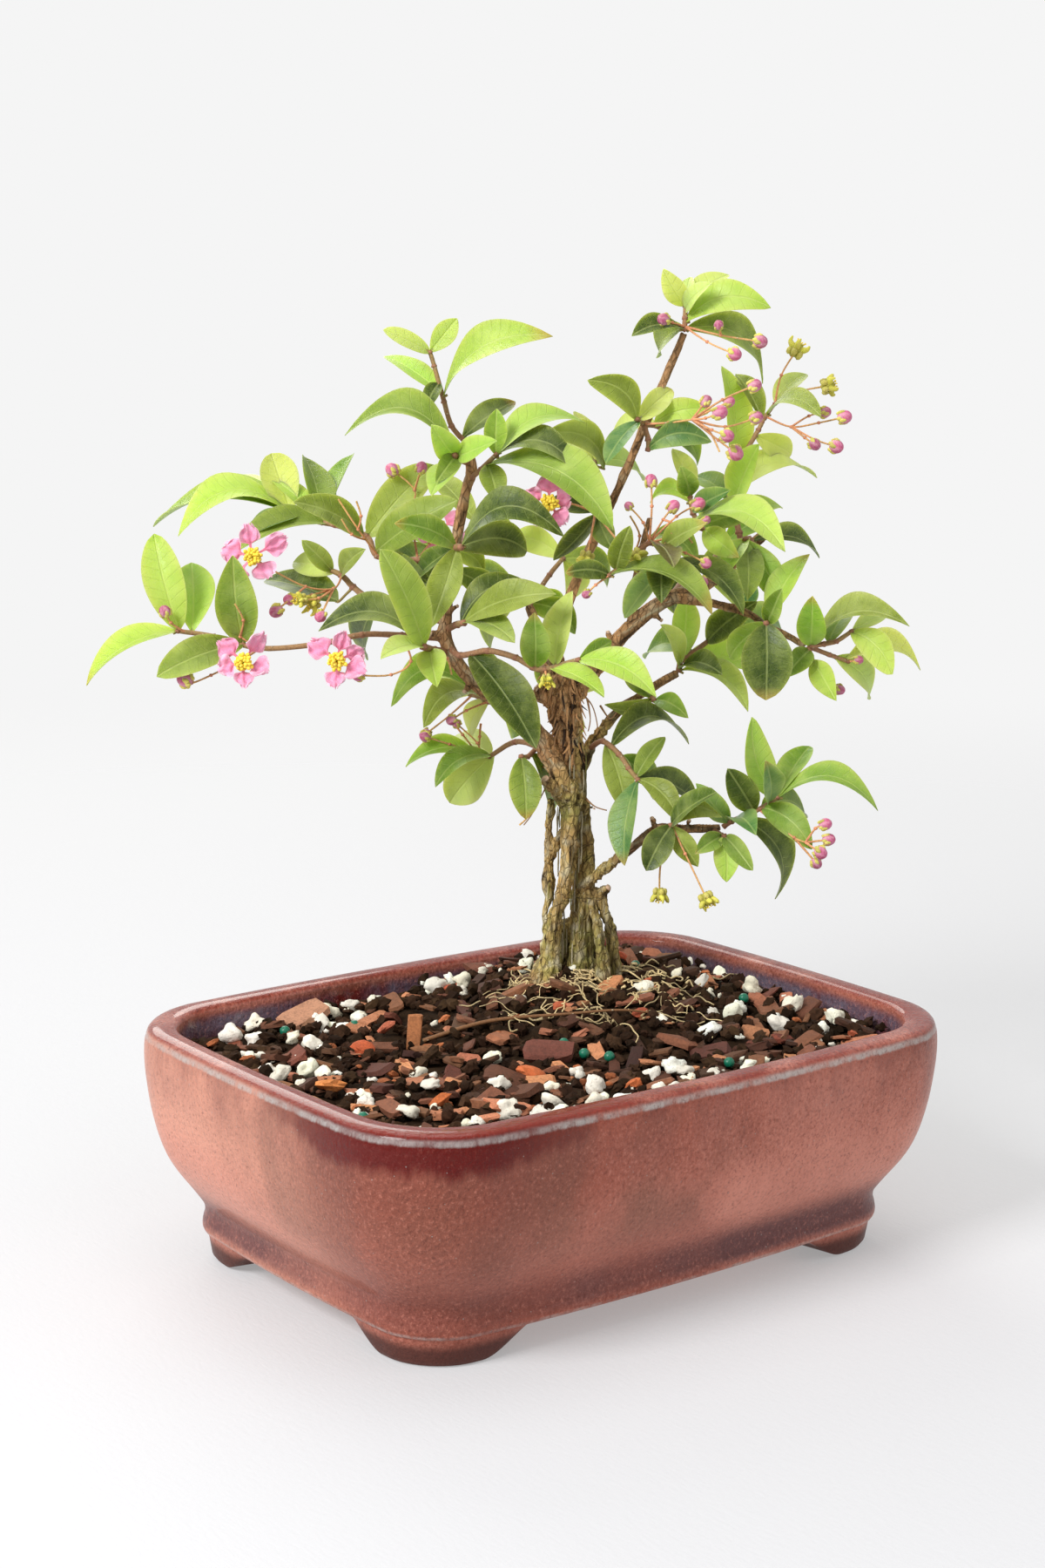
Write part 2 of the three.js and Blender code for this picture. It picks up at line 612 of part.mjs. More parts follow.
// Shoots and blooms
const SHOOTS = [
  {
    name: "shoot_left_low",
    stems: [
      { path: [
        [-41, 176, 8], [-55, 177, 11], [-67, 177, 14], [-80, 174, 17], [-98, 172.5, 20], [-112, 176, 22],
        [-123, 177.5, 24],
      ], radii: [1, 0.7] },
    ],
    leaves: [
      [-123, 177, -151.4, 161, 7, 8, 2],
      [-122.5, 177.5, -129.7, 207, 12, -6],
      [-118.5, 177.5, -118.5, 198.7, 13, -16],
      [-103, 174, -106, 200.6, 12.5, 4],
      [-103, 173, -129.5, 163.7, 10, 14],
    ],
    stalks: [
      { path: [
        [-98, 172.5, 20], [-104, 168.5, 26], [-113, 164, 30], [-119, 161.5, 31], [-121, 162.6, 31],
      ], bud: 5 },
      { path: [[-80, 174, 17], [-77, 171, 24], [-74.5, 169, 30]] },
      { path: [[-98, 172.5, 20], [-101.5, 170, 28], [-103.2, 168.1, 34]] },
      { path: [[-55, 177, 11], [-52, 169, 16], [-58, 164.8, 18], [-68, 164.5, 20]], bud: 4 },
    ],
  },
  {
    name: "shoot_left_middle",
    stems: [
      { path: [
        [-41, 181, 7], [-52, 184.5, 2], [-63.5, 187.5, -3], [-69.5, 191.5, -6], [-73, 195, -8],
        [-77.5, 197, -9],
      ], radii: [1.2, 0.8] },
    ],
    leaves: [
      [-74, 187, -96, 193, 9, -22],
      [-76, 196, -85, 205.5, 6, 6],
      [-73, 195, -66, 203, 5.5, 14],
      [-75, 195.5, -88, 199, 8, -14],
      [-62, 187, -66, 170.5, 7, -26],
    ],
    stalks: [
      { path: [
        [-73, 195, -8], [-75.5, 191, 0], [-84, 191.5, 8], [-95, 197, 14], [-100, 200.5, 16],
      ] },
      { path: [[-75.5, 191, 0], [-82, 186.5, 6]], star: 7 },
      { path: [[-84, 191.5, 8], [-93, 184, 12]], bud: 4.5 },
    ],
  },
  {
    name: "shoot_left_upper",
    stems: [
      { path: [
        [-39, 203, 3], [-50, 200, -6], [-62, 201, -13], [-65.5, 207, -17], [-75, 210.2, -22],
        [-82, 211.5, -25], [-88.7, 214, -28],
      ], radii: [1.1, 0.7] },
    ],
    leaves: [
      [-88.5, 213.6, -122.5, 206.6, 9, 8, 8],
      [-89, 214, -130, 209.7, 6, -22, 3],
      [-88, 214, -94, 231.5, 12, -10],
      [-78, 210, -105, 202.5, 8, 20, 1],
      [-66, 208, -87.5, 217, 9, 16, 1],
      [-79, 211, -84.5, 230.5, 9, -22],
      [-80, 211.5, -94, 224, 6, -8],
      [-64.5, 207, -45, 228.5, 12, -8],
      [-63, 202, -38, 218, 11, 10],
      [-60, 201, -46, 193, 8, 12],
    ],
    stalks: [
      { path: [[-50, 200, -6], [-46.5, 205, -16], [-43.5, 209, -21.5]] },
      { path: [[-50, 200, -6], [-52, 214, -13], [-51, 221, -16], [-57.8, 227, -17]], bud: 4.5 },
    ],
  },
  {
    name: "shoot_left_inner",
    stems: [
      { path: [[-41.2, 172, 8], [-45, 172.5, 16], [-48, 173.5, 23]], radii: [1.3, 1] },
    ],
    leaves: [
      [-48, 174, -61, 203, 11.5, 12, -1],
      [-48, 174, -80, 178.5, 9, 4, 6],
      [-48, 173.5, -61, 170, 6, 16],
      [-46, 173, -44, 161.5, 9, 14],
    ],
    stalks: [
    ],
  },
  {
    name: "shoot_left_shade",
    stems: [
      { path: [[-24, 156, 7], [-28, 157, -2], [-33, 159, -10]], radii: [1, 0.8] },
    ],
    leaves: [
      [-33, 159.5, -58, 155, 8, 6, 8],
      [-29, 157, -48, 149, 7, 16, 5],
      [-33, 159, -47, 168, 8, -20],
      [-28, 157, -34, 146.5, 6, -16],
    ],
    stalks: [
      { path: [[-33, 159, -10], [-40, 152.5, -14], [-47.5, 146.5, -18]], bud: 4 },
    ],
  },
  {
    name: "shoot_left_front",
    stems: [
      { path: [[-41, 179, 7], [-38, 180.5, 16], [-36, 181, 22]], radii: [1.1, 0.9] },
    ],
    leaves: [
      [-36, 180.5, -8, 190, 9.5, 12, 1],
      [-37, 181, -15, 192.5, 8, -6, 4],
      [-36, 180, -20.5, 175.5, 6, 16, 1],
    ],
  },
  {
    name: "shoot_left_high",
    stems: [
      { path: [[-39, 203.5, 4], [-38, 204, 12], [-37, 204, 18]], radii: [1.1, 0.9] },
    ],
    leaves: [
      [-37, 204, -6, 208, 9.5, 10, 8],
      [-37.5, 203.5, -17, 203, 11, -14, 3],
      [-38, 203.5, -46, 179.5, 10, 8],
      [-38, 203, -57, 211, 8, 10, 1],
    ],
  },
  {
    name: "shoot_crown_left",
    stems: [
      { path: [[-34.8, 229.5, 0], [-38, 230.5, 6], [-39, 231.5, 11]], radii: [1.1, 0.9] },
    ],
    leaves: [
      [-38, 231.6, -72, 237.7, 7, -4, 9],
      [-37.5, 232, -46, 240.5, 8, 12],
      [-38, 232, -44.5, 223.5, 6, 12],
      [-37, 231, -46, 219.5, 6, 20],
      [-37.5, 232, -26.5, 236, 7, 14],
    ],
  },
  {
    name: "shoot_crown_left_tip",
    stems: [
      { path: [
        [-34.6, 232, -1.5], [-35.5, 235, -6], [-40, 240.3, -6], [-42.3, 247.5, -7], [-45.3, 258, -8],
        [-46.6, 262, -8],
      ], radii: [0.9, 0.65] },
    ],
    leaves: [
      [-42.5, 248.8, -10.2, 267.3, 8, 10, 5],
      [-46.6, 262, -60.5, 268.5, 5, 6, -1],
      [-46.4, 262, -38.5, 272, 7, -4],
      [-42.8, 249.5, -60.3, 260.8, 6, -12],
      [-37.5, 236, -21, 247.5, 7, -14],
    ],
  },
  {
    name: "shoot_crown_side",
    stems: [
      { path: [[-34.5, 224.5, 0], [-31, 227.5, 7], [-26.5, 232, 10]], radii: [0.9, 0.7] },
    ],
    leaves: [
      [-26.5, 232, 0, 242, 7, -8, 4],
      [-30, 228.5, 9, 210, 11, 20, 5],
      [-27, 231, -1.5, 227, 7, 6, 5],
      [-29, 229, -26, 217.5, 8, 10],
      [-26.5, 232, -13.5, 240, 6, -20],
      [-27, 232, -26.5, 245.5, 7, 2],
    ],
  },
  {
    name: "shoot_front",
    stems: [
      { path: [
        [-40.5, 174, 8], [-37, 171, 13], [-28.6, 172.5, 17], [-20, 170.5, 22], [-14.7, 167.5, 25],
        [-11, 167, 26], [-1, 170, 28],
      ], radii: [1, 0.8] },
    ],
    leaves: [
      [-34, 171.7, -13.5, 142.5, 13, 16],
      [-14, 168, -14.5, 184.5, 9, 8],
      [-8, 168, -3, 191, 8.5, -8],
      [-1, 170.5, 23, 159, 9, 12, 2],
      [-9.5, 167, 7, 159, 6, 14],
    ],
    stalks: [
      { path: [[-11, 167, 26], [-10.5, 163.5, 30]], star: 5.5 },
    ],
  },
  {
    name: "shoot_left_lowest",
    stems: [
      { path: [
        [-8.5, 140, 2], [-13, 143, -3], [-20, 144.5, -8], [-27.7, 140, -12], [-31, 140.5, -14],
      ], radii: [1, 0.7] },
      { path: [[-13, 143, -3], [-16, 140, 4], [-18, 140, 8]], radii: [0.8, 0.7] },
    ],
    leaves: [
      [-31, 140.7, -53.5, 136.5, 6.5, 4, 3],
      [-27, 140, -44.3, 130.3, 7, 12, 2],
      [-26, 140.5, -40, 125, 13, -12],
      [-18, 140, -16.3, 120.3, 10, 8],
      [-15, 141, -9.5, 119.3, 6, -22],
      [-27, 140.3, -41, 144, 7, -22],
    ],
    stalks: [
      { path: [
        [-8.8, 137, 0], [-12, 135.7, -4], [-14.7, 123, -6], [-18.3, 118.5, -7],
      ], radius: 0.5 },
    ],
  },
  {
    name: "shoot_leader_middle",
    stems: [
      { path: [[6, 212, -10], [4.5, 214, -3], [3.5, 215, 2]], radii: [1, 0.8] },
      { path: [[4.5, 214, -3], [1, 221, -8], [2.5, 228.5, -14], [3, 230, -18]], radii: [0.9, 0.7] },
    ],
    leaves: [
      [3.5, 215, -9, 219.5, 6, -8],
      [3.5, 214, -9, 200.5, 6, 6, -2],
      [4, 214, 9, 203.5, 7, 10],
      [6, 228, -12.5, 238, 9, 12, 5],
      [5, 229, 18, 225, 6, -24, 1],
      [4, 229.5, -14, 233, 5, -14],
      [3.5, 230, -3, 245, 7, -14],
    ],
    stalks: [
      { path: [[3.5, 215, 2], [-4, 217.5, 8], [-10.5, 217.5, 11.5]] },
      { path: [[3.5, 215, 2], [2, 206, 8], [1, 201, 10]], star: 7 },
      { path: [[3.5, 215, 2], [10, 207, 12], [16.2, 201.5, 16]], star: 7.5 },
    ],
  },
  {
    name: "shoot_leader_upper",
    stems: [
      { path: [[17.5, 240, -8], [17.5, 241.5, -3], [15.5, 243, 1]], radii: [0.9, 0.7] },
      { path: [[17.5, 241.5, -3], [19, 237, 0], [19, 234, 1]], radii: [0.9, 0.7] },
      { path: [[17.5, 241.5, -3], [21.5, 241, -9], [22.5, 240.5, -15]], radii: [0.9, 0.7] },
    ],
    leaves: [
      [15.5, 243, 0.6, 254.3, 9, 8, 4],
      [16, 243, 26, 252, 7, -8],
      [20.5, 240.5, 37.5, 246, 7, 6, 2],
      [19, 234, 38, 236.5, 8, 4, 4],
      [16, 242, 6.5, 229.5, 6, 12],
      [21.5, 240.5, 8, 238, 6, -16, 1],
      [21.5, 240.5, 34, 229.5, 7, -14, 2],
    ],
    stalks: [
      { path: [[17.5, 241.5, -3], [25, 242, 4], [32, 243, 8]], radius: 0.5 },
      { path: [[32, 243, 8], [36, 243.5, 13], [40.3, 245.2, 16]], bud: 4.8 },
      { path: [[32, 243, 8], [41, 249, 12], [50.5, 253.3, 13]], bud: 4.3 },
      { path: [[32, 243, 8], [40, 237, 10], [45.3, 233.2, 12]], bud: 5 },
    ],
  },
  {
    name: "shoot_leader_top",
    stems: [
      { path: [[29.1, 269, -6], [29.3, 273, -6], [29.3, 276.5, -6]], radii: [0.9, 0.7] },
    ],
    leaves: [
      [28.8, 276.5, 22.5, 287.3, 7, 5],
      [29.5, 276.8, 30.5, 285, 4.5, -8],
      [30, 276, 42, 285.5, 6, -12],
      [29.6, 275, 36.5, 283, 5, 12],
      [29.5, 271.5, 54.5, 276.5, 9, 8, 5],
      [28.9, 269.5, 13.5, 267.5, 5, 10, 1],
      [29.2, 269.8, 53.3, 254.3, 8, -12, 5],
      [29.2, 270.3, 22, 262, 6, -22, 1],
    ],
    stalks: [
      { path: [[29.2, 270.5, -6], [40, 268, 1], [51.8, 266.3, 4]], bud: 4.5 },
      { path: [[29.2, 270.5, -6], [25.5, 271.5, -1], [22.8, 272.5, 2]], bud: 4 },
    ],
  },
  {
    name: "shoot_centre",
    stems: [
      { path: [[18, 204, -5], [15, 202, 6], [12, 199, 13], [8, 196, 18]], radii: [1, 0.7] },
      { path: [[15, 202, 6], [20, 206, 8], [24, 204.5, 9], [26, 200, 9]], radii: [0.9, 0.7] },
    ],
    leaves: [
      [8, 196, 39.5, 184.5, 7, 14, 4],
      [26, 200, 49, 184.5, 7, 8, 3],
      [26, 200, 13, 183, 7, -6],
      [25, 203, 24, 188, 9, 16],
      [10, 197.5, 14, 211, 7, 10],
      [24, 204.5, 37, 212, 7, 14],
    ],
    stalks: [
      { path: [[20, 206, 8], [24, 213, 9], [27, 217, 10]], bud: 4.2 },
      { path: [[20, 206, 8], [28, 214, 5], [34.5, 217.8, 8]], bud: 4.5 },
      { path: [[20, 206, 8], [20.5, 217, 7], [20.1, 224.6, 7]], bud: 4.2 },
    ],
  },
  {
    name: "shoot_low_inner",
    stems: [
      { path: [
        [29.8, 166.6, -28], [30.5, 170.5, -29], [34, 172.7, -30], [39, 176.7, -31], [45.7, 181.8, -32],
        [49.5, 185.7, -33],
      ], radii: [1, 0.7] },
    ],
    leaves: [
      [30.5, 171, 31.5, 190, 9, -10],
      [31, 170, 60, 161, 9, -14, 4],
      [30, 168.5, 24.5, 181, 6, 14],
      [38, 176, 53, 188.5, 9, 12],
      [30, 167.5, 43, 166, 6, 18, 2],
      [30, 167, 51.3, 155, 7, 10, 4],
      [46, 182, 62, 178, 8, -22, 2],
      [34, 172.7, 19, 171, 8, -22, 2],
    ],
  },
  {
    name: "shoot_low_curl",
    stems: [
      { path: [[20, 160.5, -22], [22, 158.5, -14], [22.5, 157.8, -10]], radii: [0.9, 0.7] },
    ],
    leaves: [
      [22, 158.5, 7.5, 156.5, 6, 6, -3],
      [22.5, 158, 33, 152.5, 6, 12, 1],
      [22, 158.5, 14, 168.5, 7, -8],
    ],
  },
  {
    name: "shoot_right_inner",
    stems: [
      { path: [
        [47.5, 202.3, -14], [41, 207, -8], [36, 210.5, -5], [33, 215, -4], [32, 220, -5],
      ], radii: [1, 0.7] },
      { path: [[36, 210.5, -5], [31, 211, 2]], radii: [0.8, 0.7] },
    ],
    leaves: [
      [31, 211, 61, 204.3, 8, 22, 5],
      [36, 212, 51, 216, 7, -4],
      [36, 210, 47, 202, 8, 14],
      [33, 216, 44, 222, 6, 12],
      [32, 220, 29, 229, 7, 8],
      [32, 220, 26.5, 234.5, 6, -10],
    ],
  },
  {
    name: "shoot_right_upper",
    stems: [
      { path: [
        [48, 204.8, -15], [47, 209.5, -17], [43, 226, -20], [46, 230.8, -21], [48.6, 234.2, -22],
        [52, 240.2, -24], [53.7, 243.7, -25], [56.7, 248, -26],
      ], radii: [1, 0.6] },
    ],
    leaves: [
      [46, 217, 52.5, 236, 8, 16],
      [46.5, 222, 70, 226, 7, -12, 5],
      [46, 212, 60, 217, 7, -14, 2],
      [51, 238.5, 62, 233, 8, -14],
      [54.5, 244.5, 70.7, 244, 5, 16, 4],
      [44, 228, 40.8, 259, 8, -10],
      [53, 242.5, 45, 257, 6, -12],
      [56.7, 248, 66, 257, 6, -14],
      [45, 218, 33, 226, 7, -18],
    ],
    stalks: [
      { path: [[56.7, 248, -26], [58.4, 256.5, -27], [62.8, 264, -28]], star: 8 },
      { path: [[56.7, 248, -26], [63, 251.5, -24], [72.5, 253.5, -24]], star: 7.5 },
      { path: [
        [54.5, 244, -25], [61.8, 241.2, -20], [70, 242.5, -17], [77.7, 244.3, -15],
      ], bud: 4.6 },
      { path: [[61.8, 241.2, -20], [69, 237.5, -15], [75.5, 235.5, -12]], bud: 4.6 },
    ],
  },
  {
    name: "shoot_right_stub",
    stems: [
      { path: [[52, 206, -15], [50, 207.5, -8], [49, 207.5, -3]], radii: [1, 0.8] },
    ],
    leaves: [
      [49, 207, 60.5, 187.7, 9, 6],
      [49.5, 207.5, 50, 189, 9, 16],
      [51, 207, 71.7, 202.3, 6, -8, 3],
    ],
  },
  {
    name: "shoot_right_tip",
    stems: [
      { path: [
        [69, 175, 3.5], [73.6, 175.8, 5], [77.5, 176.7, 6], [82, 179.8, 7],
      ], radii: [0.9, 0.65] },
      { path: [[69, 175, 3.5], [70.8, 169.6, 5], [73.6, 165, 7]], radii: [0.8, 0.6] },
      { path: [[69, 175, 3.5], [75.5, 172.5, 1], [81.3, 170.5, 0]], radii: [0.8, 0.6] },
    ],
    leaves: [
      [70, 176, 99.5, 181.5, 7, 14, 5],
      [69.5, 176.3, 69.8, 190, 9, 12],
      [82, 179.5, 95, 166.7, 9.5, 8, 2],
      [80.5, 171, 103.3, 168, 7, -10, 5],
      [70.5, 171, 78, 158.5, 7.5, 14],
      [69.5, 174, 62, 165.5, 7, 14],
      [75, 175.8, 86, 190, 7, -16],
      [77, 172, 88, 159, 8, -16, 2],
    ],
    stalks: [
      { path: [[73.6, 165, 7], [76, 163, 9], [79, 161.8, 10]], bud: 3.4 },
    ],
  },
  {
    name: "shoot_right_heart",
    stems: [
      { path: [[57, 181, -1.5], [56.5, 182, 6], [56, 182, 13]], radii: [0.9, 0.75] },
    ],
    leaves: [
      [56, 182, 56.5, 158.3, 15.5, 5],
      [56.3, 182.3, 68.5, 203, 8, -6],
      [56.3, 182.3, 60.5, 192.5, 6, 10],
      [56.5, 182, 45, 171, 8, -12, 1],
    ],
  },
  {
    name: "shoot_low_side",
    stems: [
      { path: [
        [3.5, 143, -4], [7, 145, 2], [12, 141, 7], [15, 136.7, 10], [18, 133, 12],
      ], radii: [0.9, 0.7] },
    ],
    leaves: [
      [9.5, 143.5, 33.5, 145, 7, -12, 7],
      [7.8, 144.5, 14.5, 122.7, 9, 10],
      [12.5, 140.5, 22, 128, 7, -18, 1],
      [17.5, 134, 26, 146.5, 6, -8],
      [17.8, 133, 14.5, 106, 7.5, 12],
      [18, 133.3, 31, 120, 7, 10, 2],
      [17.8, 133.8, 37, 123, 7, -14, 2],
    ],
  },
  {
    name: "shoot_low_right",
    stems: [
      { path: [
        [44.5, 118.6, 19.4], [47, 120.5, 20], [52, 122.5, 21], [55.7, 124.5, 22], [61, 128, 22],
      ], radii: [0.9, 0.65] },
    ],
    leaves: [
      [60.8, 128, 52.2, 153, 9, 4, -3],
      [61, 128, 92, 125, 7, 8, 6],
      [54, 123.5, 45.3, 137, 9, 8],
      [58, 126.5, 57, 139.5, 6, 14],
      [56.5, 124.5, 72, 112, 9, 12, 3],
      [47, 121, 54.5, 116.8, 6, 22, 1],
      [46, 120.5, 36, 132, 7, 6],
      [60.8, 128, 70.5, 144, 7, -16],
      [56, 124.5, 70, 122, 7, -20, 2],
      [49.5, 121, 61, 96, 7, -10, 5],
    ],
    stalks: [
      { path: [[55.7, 124, 22], [61.7, 119, 29], [66.5, 115.5, 33], [70, 114, 35]], radius: 0.5 },
      { path: [[70, 114, 35], [73, 118.5, 36], [76, 119.8, 37]], bud: 4 },
      { path: [[70, 114, 35], [74.8, 110.8, 38]], bud: 4.2 },
    ],
  },
  {
    name: "shoot_low_front",
    stems: [
      { path: [[30, 118.8, 15], [29, 119, 21], [28.5, 119, 25]], radii: [0.9, 0.8] },
    ],
    leaves: [
      [28.5, 119.5, 44, 121.7, 7, 8, 4],
      [28.5, 118.5, 21, 104.5, 9, 8],
      [28.5, 119, 37, 106, 7, 4],
      [28.5, 119, 42, 129.5, 6, 14],
    ],
    stalks: [
      { path: [[28.5, 119, 25], [25.5, 107, 28], [25.3, 97, 29]], star: 6.5 },
      { path: [[28.5, 119, 25], [33, 110, 30], [40, 95.7, 33]], star: 7 },
    ],
  },
  {
    name: "shoot_low_hanging",
    stems: [
      { path: [[42, 117.5, 18.5], [44, 116, 24], [45, 115.8, 27]], radii: [0.8, 0.7] },
    ],
    leaves: [
      [45, 115.5, 46, 101.3, 8, 6],
      [45, 115.5, 54, 105, 6, 10],
    ],
  },
  {
    name: "shoot_back_left",
    stems: [
      { path: [
        [-40, 195, 4], [-40, 196, -10], [-42, 199, -32], [-44, 203, -50],
      ], radii: [1.1, 0.7] },
      { path: [[-42, 199, -32], [-33, 212, -44]], radii: [0.8, 0.6] },
    ],
    leaves: [
      [-44, 204, -66, 208, 9, -18, 3],
      [-44, 204, -56, 190, 9, -22, 3],
      [-44, 203, -30, 196, 8, -12, 3],
      [-42, 199, -52, 181, 9, -12],
      [-33, 212, -24, 202, 8, -20, 2],
      [-33, 212, -14, 216, 9, -12, 3],
      [-33, 212, -46, 226, 8, -14],
      [-41, 197, -26, 186, 9, -12, 2],
    ],
  },
  {
    name: "shoot_back_trunk",
    stems: [
      { path: [[-16.2, 186.5, -45], [-18, 189, -55], [-19, 190, -64]], radii: [1.1, 0.7] },
      { path: [[-16.2, 186.5, -45], [-10, 196, -50], [-6, 201, -54]], radii: [0.9, 0.7] },
    ],
    leaves: [
      [-19, 190, -40, 190, 9, -12, 4],
      [-19, 190, -8, 177, 9, -20, 3],
      [-19, 190, -28, 173, 9, -16, 3],
      [-6, 201, 8, 193, 8, -18, 3],
      [-6, 201, -22, 207, 9, -12, 3],
      [-6, 201, -5, 187, 8, -22, 2],
      [-16.5, 187.5, -2, 178, 9, -6, 3],
    ],
  },
  {
    name: "shoot_back_right",
    stems: [
      { path: [[28, 191, -10], [30, 194, -26], [33, 197, -44], [35, 199, -58]], radii: [1.2, 0.7] },
      { path: [[30, 194, -26], [38, 200, -38], [42, 205, -46]], radii: [0.9, 0.6] },
    ],
    leaves: [
      [35, 199, 56, 200, 9, -14, 4],
      [35, 199, 20, 208, 9, -16, 3],
      [35, 199, 46, 186, 9, -22, 3],
      [33, 197, 16, 192, 9, -10, 4],
      [42, 205, 36, 222, 8, -10],
      [42, 205, 58, 213, 8, -12, 2],
      [34, 198, 29, 184, 9, -16, 2],
    ],
  },
  {
    name: "shoot_back_low",
    stems: [
      { path: [[-20.2, 158.5, -43], [-23, 160, -54], [-25, 160, -62]], radii: [1, 0.7] },
      { path: [[-20.2, 158.5, -43], [-13, 158, -52], [-8, 157, -58]], radii: [0.9, 0.7] },
    ],
    leaves: [
      [-25, 160, -44, 156, 9, -10, 4],
      [-25, 160, -31, 172, 8, -14],
      [-25, 160, -20, 146, 9, -14, 2],
      [-8, 157, 6, 162, 8, -10, 3],
      [-8, 157, -4, 144, 8, -14, 2],
      [-8, 157, -12, 171, 8, -12],
    ],
  },
];

const BLOOMS = [
  {
    name: "bloom_left_low",
    centre: [-103.2, 168.1, 34.5],
    petals: [[-110.3, 174.8, 34], [-97, 177.3, 34], [-95.5, 165.3, 36], [-103, 160, 38], [-111, 166, 36]],
  },
  {
    name: "bloom_left_high",
    centre: [-100, 200.5, 16.5],
    petals: [[-102, 210.5, 16], [-89.5, 206.5, 14], [-95, 194, 19], [-107.5, 191.5, 20], [-109.5, 202.5, 17]],
  },
  {
    name: "bloom_left_front",
    centre: [-74.5, 169, 30.5],
    petals: [[-83, 174.5, 30], [-72.5, 178, 29], [-66.3, 172.5, 30], [-66, 165, 32], [-75, 160.5, 33]],
  },
  {
    name: "bloom_shade",
    centre: [-43.5, 209, -22],
    petals: [[-51, 209, -22], [-46, 217, -24], [-37, 214, -24], [-35.5, 204, -21], [-44.5, 200, -19]],
  },
  {
    name: "bloom_centre",
    centre: [-10.5, 217.5, 12],
    petals: [[-17.5, 221, 12], [-10.5, 226, 10], [-4, 219.5, 11], [-5.5, 211, 14], [-14.5, 210.5, 15]],
  },
];
// End of shoots and blooms

// A petal: a narrow claw that opens to a crimped fan
function makePetal(centre, tip, grow = 0) {
  const along = tip.clone().sub(centre);
  const length = along.length();
  along.normalize();
  const toEye = FRONT_EYE.clone().sub(centre).normalize();
  const normal = toEye.addScaledVector(along, -toEye.dot(along)).normalize();
  const side = along.clone().cross(normal).normalize();
  const ring = (t, halfWidth, lift) => {
    const at = (s, n) => centre.clone().addScaledVector(along, t * length)
      .addScaledVector(side, s).addScaledVector(normal, n + lift);
    const [w, h] = [halfWidth + grow, PETAL_THICKNESS / 2 + grow];
    return [at(-w, h), at(w, h), at(w, -h), at(-w, -h)];
  };
  return skin([
    ring(0, 0.6, 0),
    ring(0.7, 3.6, 0.4),
    ring(1 + grow / length, 2.8, -0.2),
  ]);
}

function makeBloom({ centre, petals }, grow = 0) {
  const middle = place(centre);
  const hub = new THREE.OctahedronGeometry(1.5 + 1.7 * grow, 0);
  hub.translate(middle.x, middle.y, middle.z);
  return join([solid(hub), ...petals.map((tip) => makePetal(middle, place(tip), grow))]);
}

// Yellow stamens stand in a spreading tuft just in front of the petals' claws.
function makeStamens({ centre }) {
  const [across, height, forward] = centre;
  const foot = place([across, height, forward + 1.9]);
  const axis = place([across, height, forward + 8]).sub(foot).normalize();
  const side = axis.clone().cross(UP).normalize();
  const other = axis.clone().cross(side);
  const ring = [];
  for (let k = 0; k < 12; k++) {
    const turn = (k / 12) * 2 * Math.PI;
    const reach = k % 2 ? 1 : 2.6;
    ring.push(foot.clone().addScaledVector(axis, 1.6)
      .addScaledVector(side, Math.cos(turn) * reach).addScaledVector(other, Math.sin(turn) * reach));
  }
  return skin([[foot.clone()], ring, [foot.clone().addScaledVector(axis, 2.6)]]);
}

// The whole tree in its pot

function build() {
  const group = new THREE.Group();
  const add = (name, whole, material) => {
    const mesh = new THREE.Mesh(geometryOf(largest(whole)), material);
    mesh.name = name;
    group.add(mesh);
  };
  add("pot", makePot(), finish(GLAZE, 0.28));
  add("drain_screen_left", makeScreen(-DRAIN_X), finish(SCREEN_GREEN, 0.6));
  add("drain_screen_right", makeScreen(DRAIN_X), finish(SCREEN_GREEN, 0.6));
  add("soil", makeSoil(), finish(SOIL_BROWN, 0.95));
  add("trunk", makeTrunk(), finish(BARK, 0.9));
  const leafColours = [LEAF, LEAF_DARK, LEAF_PALE];
  const taken = [makeTrunk(GAP)];
  BLOOMS.forEach((bloom) => {
    add(bloom.name, makeBloom(bloom), finish(PETAL, 0.6));
    taken.push(makeBloom(bloom, GAP));
    add(`${bloom.name}_stamens`, makeStamens(bloom), finish(STAMEN, 0.7));
  });
  SHOOTS.forEach((shoot, index) => {
    const clear = taken.reduce((whole, other) => whole.subtract(other), makeShoot(shoot));
    add(shoot.name, clear, finish(leafColours[index % leafColours.length], 0.5));
    taken.push(makeShoot(shoot, GAP));
  });
  const box = new THREE.Box3().setFromObject(group);
  const middle = box.getCenter(new THREE.Vector3());
  group.position.set(-middle.x, -middle.y, -box.min.z);
  return group;
}

export default build();
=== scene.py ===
"""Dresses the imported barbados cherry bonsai: glazed pot, potting mix, bark, leaves and flowers."""

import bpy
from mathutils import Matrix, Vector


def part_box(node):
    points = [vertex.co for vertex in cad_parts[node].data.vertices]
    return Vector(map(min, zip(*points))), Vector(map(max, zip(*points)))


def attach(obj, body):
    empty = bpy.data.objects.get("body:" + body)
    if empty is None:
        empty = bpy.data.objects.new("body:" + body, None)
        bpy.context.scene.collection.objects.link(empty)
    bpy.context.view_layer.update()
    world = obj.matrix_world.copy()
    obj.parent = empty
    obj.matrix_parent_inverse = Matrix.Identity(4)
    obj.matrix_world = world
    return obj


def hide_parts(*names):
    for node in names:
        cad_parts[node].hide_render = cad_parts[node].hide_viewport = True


bl_info = {
    "name": "Barbados cherry bonsai",
    "version": (1, 0, 0),
    "blender": (4, 5, 0),
    "location": "3D View > Sidebar > Bonsai",
    "description": "Builds the looks of a flowering bonsai in a glazed pot round its packed model",
    "category": "Object",
}

import math
import random

import bmesh
import bpy
import numpy as np
from mathutils import Matrix, Vector, noise

